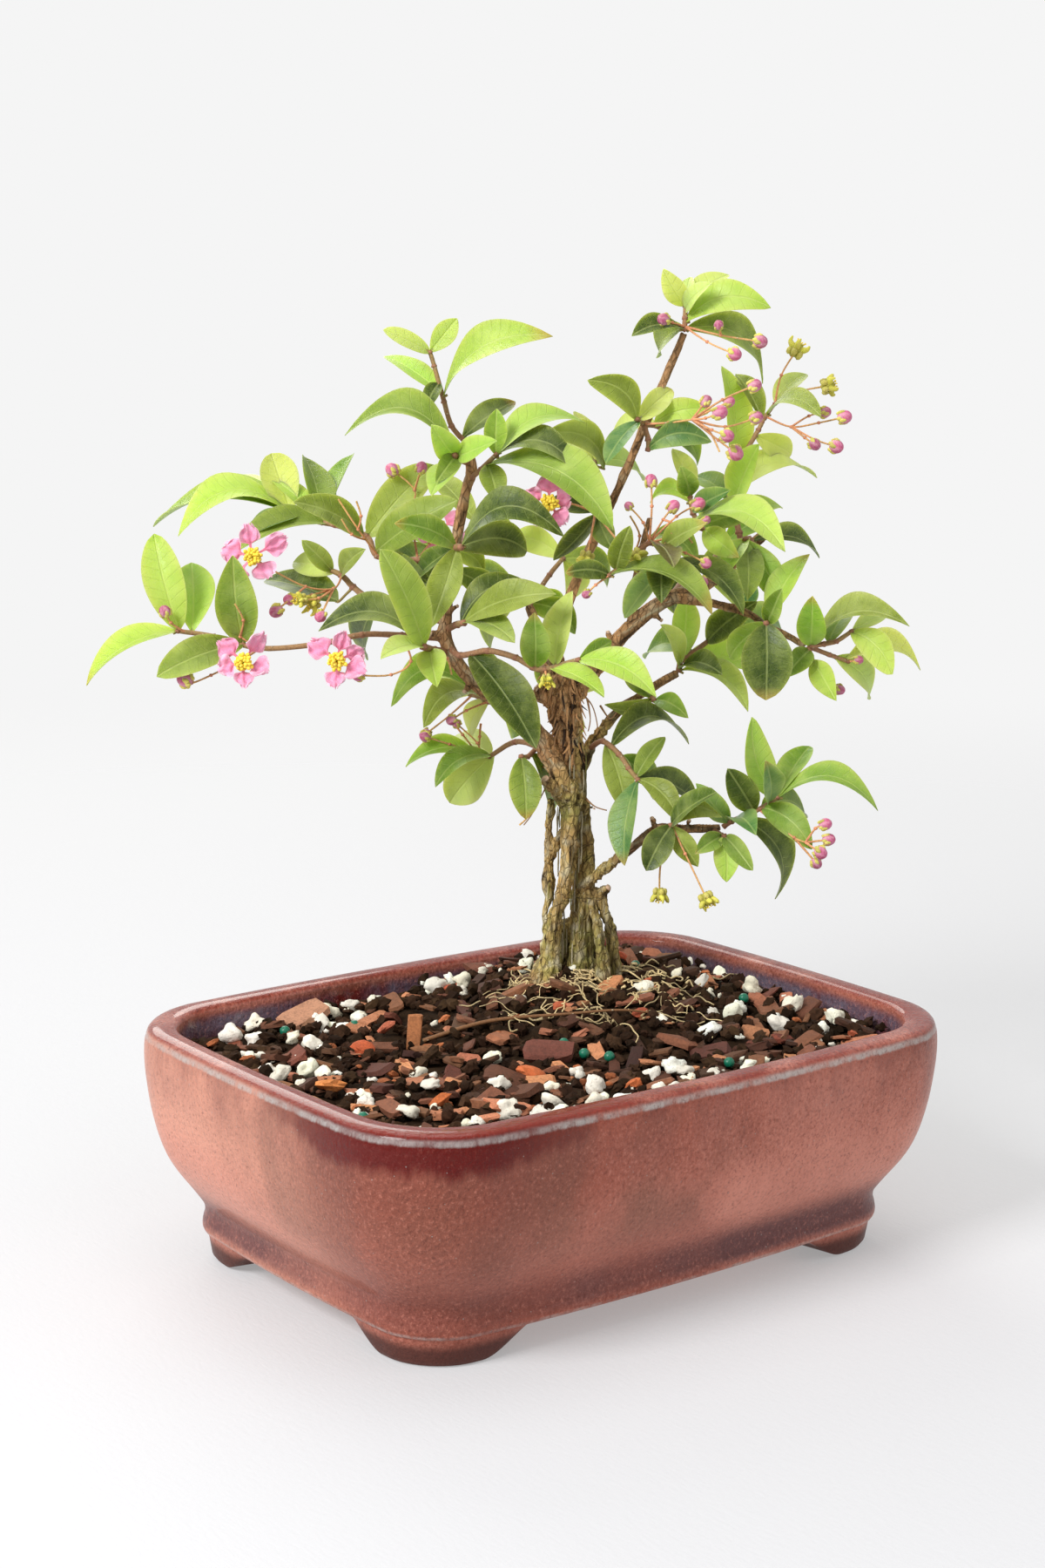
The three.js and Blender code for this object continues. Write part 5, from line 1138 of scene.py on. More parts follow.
def make_trunk():
    trunk = bpy.context.scene.bonsai_bark
    draw = random.Random(5)
    core = Sheaf()
    for path, radii in ROOTS + STRANDS + LIMBS + FLUTES + STUBS:
        tube(core, places(path), radii, (0, 0, 0), 12, 6, 0, 0.03, draw)
    for path, radii in ROOTS[:2] + STRANDS[:2] + [STRANDS[4]] + LIMBS[:1]:
        add_ribs(core, path, radii, draw)
    rough = make_piece("bark", core, [finish_of("bark", bark_finish)], ["trunk"])
    melt = rough.modifiers.new("melt", "REMESH")
    melt.mode, melt.voxel_size = "VOXEL", trunk.voxel
    ease = rough.modifiers.new("ease", "SMOOTH")
    ease.factor, ease.iterations = 0.5, 2
    settle(rough)
    mesh = rough.data
    many = len(mesh.vertices)
    at, facing = np.zeros(many * 3), np.zeros(many * 3)
    mesh.vertices.foreach_get("co", at)
    mesh.vertex_normals.foreach_get("vector", facing)
    points = at.reshape(-1, 3) / MM - POT_MIDDLE
    facing = facing.reshape(-1, 3)
    tints = np.ones((many, 4))
    fibres = fibre_places(points)
    for i, (point, out) in enumerate(zip(points, facing)):
        near = from_foot(*point[:2]) < 14 and point[2] < 170
        where = Vector(point) * Vector((0.85, 0.85, 0.16)) if near else Vector(fibres[i]) * 0.8
        ridge = 1 - 2 * abs(noise.noise(where * 1.1))
        flute = 1 - 2.4 * abs(noise.noise(where * 0.52 + Vector((5, 2, 8))))
        fine = noise.noise(where * 3.1)
        height = (0.4 * ridge + 0.8 * flute + 0.2 * fine) if near else 0.42 * ridge + 0.12 * fine
        slim = 0.55 if near and 76 < point[2] < 150 else 0.2
        points[i] = point + out * (height - slim)
        # The tint is darker down the grooves and flutes and paler on the ridges: partly the bark's own
        # colour, partly painted shade.
        tints[i, :3] = bark_tint(point) * (0.8 + 0.26 * ridge + 0.34 * flute if near
                                                else 0.74 + 0.52 * ridge)
    mesh.vertices.foreach_set("co", ((points + POT_MIDDLE) * MM).ravel())
    for old in list(mesh.attributes):
        if old.name == "tint":
            mesh.attributes.remove(old)
    add_values(mesh, "tint", "FLOAT_COLOR", np.clip(tints, 0, 1))
    add_values(mesh, "fibre", "FLOAT_VECTOR", fibres)
    make_smooth(mesh)
    mesh.update()
    add_peel(draw)


def fibre_places(points):
    """Where each point lies in the run of the bark, squeezed along the trunk or nearest limb."""
    laid, closest = points * np.array([1.0, 1.0, 0.16]), np.full(len(points), 9.0)
    for number, (path, _) in enumerate(LIMBS):
        course = smooth_path(places(path), [1.0], 3)[0]
        run = 0.0
        for start, end in zip(course[:-1], course[1:]):
            length = np.linalg.norm(end - start)
            along = (end - start) / length
            share = np.clip((points - start) @ along, 0, length)
            off = points - start - np.outer(share, along)
            reach = np.linalg.norm(off, axis=1)
            nearer = (reach < closest) & (points[:, 2] > 96)
            laid[nearer] = (off[nearer] * 0.62 + np.outer((run + share[nearer]) * 0.12, UP)
                            + 20 * (number + 1))
            closest[nearer] = reach[nearer]
            run += length
    return laid


def add_ribs(core, path, radii, draw):
    """Slim ribs that wind along a strand and give it its fluted, braided look."""
    course, widths = smooth_path(places(path), radii, 3)
    for k in range(5):
        turn, climb = k * 1.26 + draw.uniform(-0.3, 0.3), draw.uniform(0.02, 0.12)
        ribs, thick = [], []
        for i, (point, width) in enumerate(zip(course, widths)):
            ribs.append(point + width * 0.76 * compass(turn + climb * i))
            thick.append(width * draw.uniform(0.24, 0.36))
        tube(core, ribs, thick, (0, 0, 0), 6, 2)


STRIPS, FIBRES = 150, 90


def add_peel(draw):
    """Shaggy strips of bark on the upper trunk, cut faces of the stubs and a few dangling wisps."""
    trunk = bpy.context.scene.bonsai_bark
    shag = Sheaf()
    for _ in range(STRIPS):
        h = draw.uniform(138, 167)
        bearing = draw.uniform(0, 2 * math.pi)
        reach = 3.5 + max(0.0, (h - 146) * 0.09)
        middle = -2.8 - max(0.0, (h - 141) * 0.13)
        spot = (middle + reach * math.cos(bearing), h, reach * math.sin(bearing))
        length, slip = draw.uniform(2, 6.5), draw.uniform(-2.2, 2.2)
        flare = draw.uniform(0.9, 1.35)
        path = [place(*spot),
                place(spot[0] + slip * 0.4, h - length * 0.5, spot[2] * (0.5 + flare / 2)),
                place(middle + (spot[0] - middle) * flare + slip, h - length, spot[2] * flare)]
        tone = np.array(trunk.red if draw.random() < 0.72 else trunk.dark) * draw.uniform(0.9, 2.1)
        tube(shag, path, [draw.uniform(0.25, 0.55), 0.4, 0.12], np.clip(tone, 0, 1), 4, 3)
    for _ in range(FIBRES):
        h = draw.uniform(70, 134)
        side = draw.choice([-6.6, -3.4, 0.6]) if h < 105 else -2.4
        bearing = draw.uniform(0, 2 * math.pi)
        reach = 2.4 if h < 105 else 4.2
        path = [place(side + reach * math.cos(bearing) * f, h + rise,
                      reach * math.sin(bearing) * f + 1) for f, rise in [(1.0, 0), (1.06, 4), (1.0, 8)]]
        tone = np.array(trunk.lichen if draw.random() < 0.5 else trunk.moss)
        tone = tone * draw.uniform(0.6, 1.1)
        tube(shag, path, [0.15, 0.3, 0.12], np.clip(tone, 0, 1), 4, 3)
    wisps = [
        [(-7, 138, 3), (-11.5, 128, 6), (-14.5, 122, 8), (-17, 118.5, 9)],
        [(0, 160, 4), (3.5, 156, 7), (5.2, 150, 8), (5, 147, 8)],
        [(2, 158, 4), (3, 152, 7), (2.4, 148, 8)],
        [(-6, 150, 4), (-7.6, 146, 6), (-8, 141, 6)],
        [(6, 156, 0), (9, 152, 4), (11, 154, 5)],
        [(2, 127, 4), (5, 124.5, 6), (8.5, 123.4, 8)],
    ]
    for path in wisps:
        tube(shag, places(path), [0.4, 0.2], np.array(trunk.red) * 0.9, 5, 5)
    for path, radii in STUBS + [STRANDS[4], STRANDS[5], LIMBS[0]]:
        end, before = place(*path[-1]), place(*path[-2])
        ahead = unit(end - before)
        width = radii[-1] * 1.9
        lump(shag, end + ahead * 0.15, (width, width, 0.9), ahead, trunk.cut, MID_BALL, 0, 0.25)
    make_piece("shaggy_bark", shag, [finish_of("twig", twig_finish)])


# Leaves
LEAF_RATIO, LEAF_FOLD, LEAF_ARCH = 0.4, 0.4, 0.08
LEAF_ROWS, LEAF_LANES, SHARP_SHEET = 18, 8, 60
LEAF, TWIG, TUFT = 0, 1, 2


def leaf_frame(root, tip, seen):
    """A leaf's width and its directions along, across and out of the blade."""
    along = tip - root
    length = np.linalg.norm(along)
    along = along / length
    sight = unit(FRONT_EYE - (root + tip) / 2)
    facing = unit(sight - (sight @ along) * along)
    upward = unit(np.cross(along, facing))
    if upward[2] < 0:
        upward = -upward
    width = max(seen, LEAF_RATIO * length)
    open_share = min(1.0, seen / width)
    normal = facing * open_share + upward * math.sqrt(1 - open_share ** 2)
    return length, width, along, unit(np.cross(along, normal)), normal, upward


def add_leaf(sheaf, root, tip, seen, lift, tone, draw):
    length, width, along, side, normal, upward = leaf_frame(root, tip, seen)
    t, s = (v.ravel()[:, None] for v in sheet_grid(LEAF_ROWS, LEAF_LANES))
    fullness = draw.uniform(0.52, 0.82)
    half = width / 2 * np.maximum(np.sin(math.pi * t ** draw.uniform(0.88, 1.14)), 0.0) ** fullness
    half = np.maximum(half, 0.14)
    bulge = 4 * t * (1 - t)
    waves, phase = draw.uniform(4, 9), draw.uniform(0, 6)
    fold = LEAF_FOLD * draw.uniform(0.6, 1.3)
    rise = fold * half * np.abs(s) ** 1.5
    ripple = draw.uniform(0.03, 0.08) * half * s * s
    rise = rise + ripple * np.sin(waves * t + phase + 1.3 * np.sign(s))
    curl = draw.uniform(-0.5, 0.2) * length * 0.06 * t ** 4
    twist = draw.uniform(-0.45, 0.45) * (t - 0.3)
    sway = draw.uniform(-0.035, 0.035) * length * np.sin(math.pi * t)
    across = side * np.cos(twist) + normal * np.sin(twist)
    out = normal * np.cos(twist) - side * np.sin(twist)
    sheet = (root + along * (t * length) + normal * (LEAF_ARCH * length * bulge + curl)
             + upward * (lift * bulge) + side * sway + across * (s * half) + out * rise)
    thick = bpy.context.scene.bonsai_leaf.thickness / MM / 2 * (1 - 0.8 * np.abs(s) ** 4)
    groove = 0.12 * np.exp(-(s / 0.16) ** 2)
    top, under = sheet + out * (thick - groove), sheet - out * (thick + groove)
    base, pale = shades("leaf", tone, "pale")
    base = base * draw.uniform(0.84, 1.14)
    base = base * np.array([draw.uniform(0.9, 1.12), 1.0, draw.uniform(0.85, 1.15)])
    young = 0.32 if tone in ("pale", "bright") else 0.12
    glow = young * (0.35 + 0.65 * np.abs(s) ** 2) * (0.5 + 0.5 * np.sin(math.pi * t))
    upper = blend(base, pale, glow)
    # Painted light and shade: each leaf is paler towards one end or side, with pale green laid over it,
    # and darker towards the other.
    drift = draw.uniform(-1, 1) * (t - 0.5) * 2 + draw.uniform(-1, 1) * s
    lit = np.clip(0.5 + 0.5 * drift, 0, 1) ** 1.5 * draw.uniform(0.05, 0.6)
    upper = upper * (1 - np.clip(0.5 - 0.5 * drift, 0, 1) ** 1.5 * draw.uniform(0.0, 0.4))
    lit = lit * (0.3 if tone in ("dark", "deep", "dry") else 1.0)
    upper = upper * (1 - lit) + (upper * 0.4 + pale * 0.6) * lit
    beneath = base * 0.62 + np.array(srgb(172, 190, 132)) * 0.38 + 0 * s
    if draw.random() < 0.18:
        dry = np.clip(t * 5 - 4.2 + draw.uniform(-0.2, 0.1), 0, 0.8)
        upper = blend(upper, np.array(srgb(176, 132, 70)), dry)
    tints = np.hstack([np.clip(np.vstack([upper, beneath]), 0, 1), np.tile(np.abs(s), (2, 1))])
    grain = np.tile(np.hstack([t * length, s * half]), (2, 1))
    sheaf.add(np.vstack([top, under]), sheet_faces(LEAF_ROWS, LEAF_LANES), tints, grain, LEAF)
    return along


def add_bud(sheaf, centre, size, towards, draw):
    """A round flower bud with folded petals, held by fat yellow-green glands."""
    blossom = bpy.context.scene.bonsai_flower
    points, faces = FINE_BALL
    turns = np.arctan2(points[:, 1], points[:, 0])
    lobes = 1 + 0.05 * np.cos(turns * 5) * (1 - points[:, 2] ** 2)
    made = points * lobes[:, None] * np.array([size * 0.9, size * 0.9, size]) / 2
    tone = np.array(blossom.bud) * draw.uniform(0.8, 1.25)
    paler = np.array(blossom.blush)
    share = np.clip(0.22 + 0.2 * np.cos(turns * 5)[:, None] - points[:, 2:3] * 0.2, 0, 0.5)
    tints = np.clip(tone * (1 - share) + paler * share, 0, 1)
    sheaf.add(made @ turned(towards).T + centre, faces, tints, points[:, :2], TUFT)
    axes = turned(towards)
    for k in range(8):
        turn = 2 * math.pi * (k + 0.5 * (k % 2)) / 8
        way = axes @ compass(turn, -0.8 if k % 2 else -0.25)
        gland = centre + unit(way) * size * 0.42
        lump(sheaf, gland, (size * 0.32, size * 0.26, size * 0.5), towards,
             np.array(blossom.calyx) * draw.uniform(0.75, 1.15), SMALL_BALL, TUFT)


def add_spent_flower(sheaf, centre, size, towards, draw):
    """Five curled sepals round a green heart, with the glands behind and dry filaments."""
    blossom = bpy.context.scene.bonsai_flower
    axes = turned(towards)
    tone = np.array(blossom.star)
    lump(sheaf, centre, (size * 0.5, size * 0.5, size * 0.6), towards, tone * 0.6, MID_BALL, TUFT,
         0.2)
    for k in range(5):
        turn = 2 * math.pi * k / 5 + draw.uniform(-0.2, 0.2)
        out = axes @ compass(turn)
        ahead = axes[:, 2]
        path = [centre, centre + out * size * 0.26 + ahead * size * 0.08,
                centre + out * size * 0.4 + ahead * size * draw.uniform(0.1, 0.3),
                centre + out * size * 0.42 + ahead * size * draw.uniform(0.2, 0.5)]
        tube(sheaf, path, [size * 0.1, size * 0.13, size * 0.1, size * 0.03],
             np.clip(tone * draw.uniform(0.75, 1.15), 0, 1), 6, 4, TUFT)
        lump(sheaf, centre + out * size * 0.24 - ahead * size * 0.14,
             (size * 0.26, size * 0.26, size * 0.36), ahead,
             np.array(blossom.calyx) * draw.uniform(0.7, 1.0), SMALL_BALL, TUFT)
    for k in range(9):
        turn = 2 * math.pi * k / 9
        out = axes @ compass(turn, 1.0, 0.5)
        end = centre + unit(out) * size * draw.uniform(0.3, 0.45)
        tube(sheaf, [centre, end], [0.14, 0.1], srgb(196, 176, 90), 4, 2, TUFT)
        lump(sheaf, end, (0.5, 0.5, 0.6), out, blossom.stamen, SMALL_BALL, TUFT)


def nearest_on_stems(stems, across, height):
    """The nearest point of a shoot's stems as seen from the front, with its forward distance."""
    best = None
    for path, _ in stems:
        for start, end in zip(path, path[1:]):
            a, b = np.array(start, float), np.array(end, float)
            reach = (b - a)[:2] @ (b - a)[:2]
            t = min(1.0, max(0.0, (np.array([across, height]) - a[:2]) @ (b - a)[:2] / reach))
            spot = a + (b - a) * t
            off = math.hypot(spot[0] - across, spot[1] - height)
            if best is None or off < best[0]:
                best = (off, spot)
    return best


PETIOLE, PETIOLE_RADIUS, STALK_RADIUS = 2.5, 0.5, 0.36


def make_shoot(name, stems, leaves, stalks):
    """A leafy shoot: woody stems with nodes, leaves on their stalks, buds and spent flowers."""
    sheaf = Sheaf()
    draw = random.Random(name)
    stem_tint, twig_tint = shades("leaf", "stem", "twig")
    blossom = bpy.context.scene.bonsai_flower
    for path, (thick, thin) in stems:
        course = places(path)
        radii = list(np.linspace(thick, thin, len(course)))
        tube(sheaf, course, radii, twig_tint, 9, 6, TWIG, 0.06, draw,
             stem_tint * 0.6 + twig_tint * 0.4)
        for spot, radius in zip(course[1:], radii[1:]):
            lump(sheaf, spot, (radius * 2.7, radius * 2.7, radius * 2.2), UP, twig_tint, MID_BALL,
                 TWIG, 0.3)
    for row in leaves:
        x0, h0, x1, h1, seen, tone, forward, lift = (*row, 0, 0)[:8]
        off, spot = nearest_on_stems(stems, x0, h0)
        base, held = place(*spot), place(x0, h0, spot[2])
        root = base if off < PETIOLE else held
        along = add_leaf(sheaf, root, place(x1, h1, spot[2] + forward), seen, lift, tone, draw)
        neck = root + along * 1.6
        petiole = [base, neck] if off < PETIOLE else [base, (base + held) / 2, held, neck]
        tube(sheaf, petiole, [PETIOLE_RADIUS, PETIOLE_RADIUS * 0.8], stem_tint, 6, 4, TWIG)
        lump(sheaf, base, (1.5, 1.5, 1.4), along, twig_tint, SMALL_BALL, TWIG, 0.3)
    for path, end, size in stalks:
        course = places(path)
        ahead = unit(course[-1] - course[-2])
        tone = np.array(blossom.stalk) * draw.uniform(0.8, 1.15)
        tube(sheaf, course, [STALK_RADIUS * 1.1, STALK_RADIUS * 0.8], tone, 6, 5, TWIG, 0.05, draw,
             np.array(blossom.calyx) * 0.5 + tone * 0.5)
        for spot in course[1:-1]:
            lump(sheaf, spot, (1.3, 1.3, 1.1), UP, tone, SMALL_BALL, TWIG)
        if end == "bud":
            add_bud(sheaf, course[-1], size, ahead, draw)
        elif end == "star":
            add_spent_flower(sheaf, course[-1], size, ahead, draw)
    finishes = [finish_of("leaf", leaf_finish), finish_of("twig", twig_finish),
                finish_of("tuft", tuft_finish)]
    sprig = make_piece(f"sprig_{name}", sheaf, finishes, [f"shoot_{name}"])
    make_smooth(sprig.data, SHARP_SHEET)


# Open flowers
PETAL_ROWS, PETAL_LANES = 16, 16


def add_petal(sheaf, centre, tip, draw):
    """A narrow claw that opens to a crinkled opened with a fringed edge."""
    blossom = bpy.context.scene.bonsai_flower
    along = tip - centre
    length = np.linalg.norm(along)
    along = along / length
    sight = unit(FRONT_EYE - centre)
    normal = unit(sight - (sight @ along) * along)
    side = np.cross(along, normal)
    t, s = sheet_grid(PETAL_ROWS, PETAL_LANES)
    fringe = np.array([draw.uniform(-0.08, 0.07) for _ in range(PETAL_LANES + 1)])
    roll, breadth = draw.uniform(-0.7, 0.7), draw.uniform(0.85, 1.25)
    side, normal = (side * math.cos(roll) + normal * math.sin(roll),
                    normal * math.cos(roll) - side * math.sin(roll))
    opened = np.clip((t - 0.34) / 0.2, 0, 1)
    opened = opened * opened * (3 - 2 * opened)
    blade = np.sqrt(np.clip(1 - ((t - 0.68) / 0.345) ** 2, 0, 1))
    half = 0.36 + 3.2 * breadth * opened * blade
    reach = t * (1 - 0.1 * s * s * opened) + fringe * opened ** 3 * t
    wrinkle = opened * (0.35 * np.sin(s * 8 + draw.uniform(0, 6)) + 0.3 * np.sin(t * 17 + s * 4))
    cup = draw.uniform(0.2, 0.9) * opened * s * s + draw.uniform(-0.8, 0.6) * t ** 3
    t, s, half, reach, out, opened = (v.ravel()[:, None] for v in
                                      (t, s, half, reach, wrinkle + cup, opened))
    sheet = centre + along * (reach * length) + side * (s * half) + normal * (out + 0.4 * opened)
    thick = blossom.thickness / MM / 2
    pink, pale, claw = shades("flower", "pink", "blush", "claw")
    rim_share = np.clip((np.abs(s) ** 3 + t ** 3) * 0.5, 0, 0.85) * opened * draw.uniform(0.5, 1.1)
    tone = blend(blend(claw, pink, opened), pale, rim_share)
    tints = np.tile(np.clip(np.hstack([tone, opened]), 0, 1), (2, 1))
    grain = np.tile(np.hstack([t * length, s * half]), (2, 1))
    sheaf.add(np.vstack([sheet + normal * thick, sheet - normal * thick]),
              sheet_faces(PETAL_ROWS, PETAL_LANES), tints, grain)


def make_flower(name, centre, petals):
    draw = random.Random(name)
    blossom = bpy.context.scene.bonsai_flower
    middle = place(*centre)
    sight = unit(FRONT_EYE - middle)
    axes = turned(sight)
    sheaf = Sheaf()
    for tip in petals:
        add_petal(sheaf, middle, place(*tip), draw)
    for k in range(10):
        turn = 2 * math.pi * k / 10
        away = axes @ compass(turn)
        lump(sheaf, middle + away * 1.5 - sight * 0.9, (1.1, 0.9, 1.7), away - sight * 0.6,
             np.array(blossom.calyx) * draw.uniform(0.8, 1.1), SMALL_BALL, 1)
    finishes = [finish_of("petal", petal_finish), finish_of("tuft", tuft_finish)]
    flower = make_piece(f"flower_{name}", sheaf, finishes, [f"bloom_{name}"])
    make_smooth(flower.data, SHARP_SHEET)

    tuft = Sheaf()
    foot = place(centre[0], centre[1], centre[2] + 0.7)
    lump(tuft, foot + sight * 0.5, (3.0, 3.0, 2.6), sight, srgb(196, 196, 70), MID_BALL, 0, 0.15)
    for k in range(26):
        turn = k * 2.4
        away = axes @ compass(turn, 1.0, 0.25 + 0.95 * (k / 25))
        end = foot + unit(away) * draw.uniform(2.5, 3.7)
        tube(tuft, [foot, (foot + end) / 2 + sight * 0.3, end], [0.24, 0.18], blossom.stamen, 5, 3)
        lump(tuft, end, (1.5, 1.3, 1.7), away, np.array(blossom.stamen) * draw.uniform(0.85, 1.12),
             SMALL_BALL, 0, 0.2)
    make_piece(f"stamens_{name}", tuft, [finish_of("stamens", tuft_finish)],
               [f"bloom_{name}_stamens"])


def read_shoots(text):
    """The shoots as name, stems, leaves and stalks."""
    shoots = []
    for line in text.replace(",\n", ",").strip().splitlines():
        head, *rows = line.split(":")
        if not rows:
            shoots.append((head, [], [], []))
            continue
        _, stems, leaves, stalks = shoots[-1]
        if head == "stem":
            stems.append((spots(rows[0]), numbers(rows[1])))
        elif head == "leaves":
            leaves.extend(spots(rows[0]))
        else:
            end, size = (*numbers(head), 0)[:2]
            stalks.append((spots(rows[0]), end, size))
    return shoots


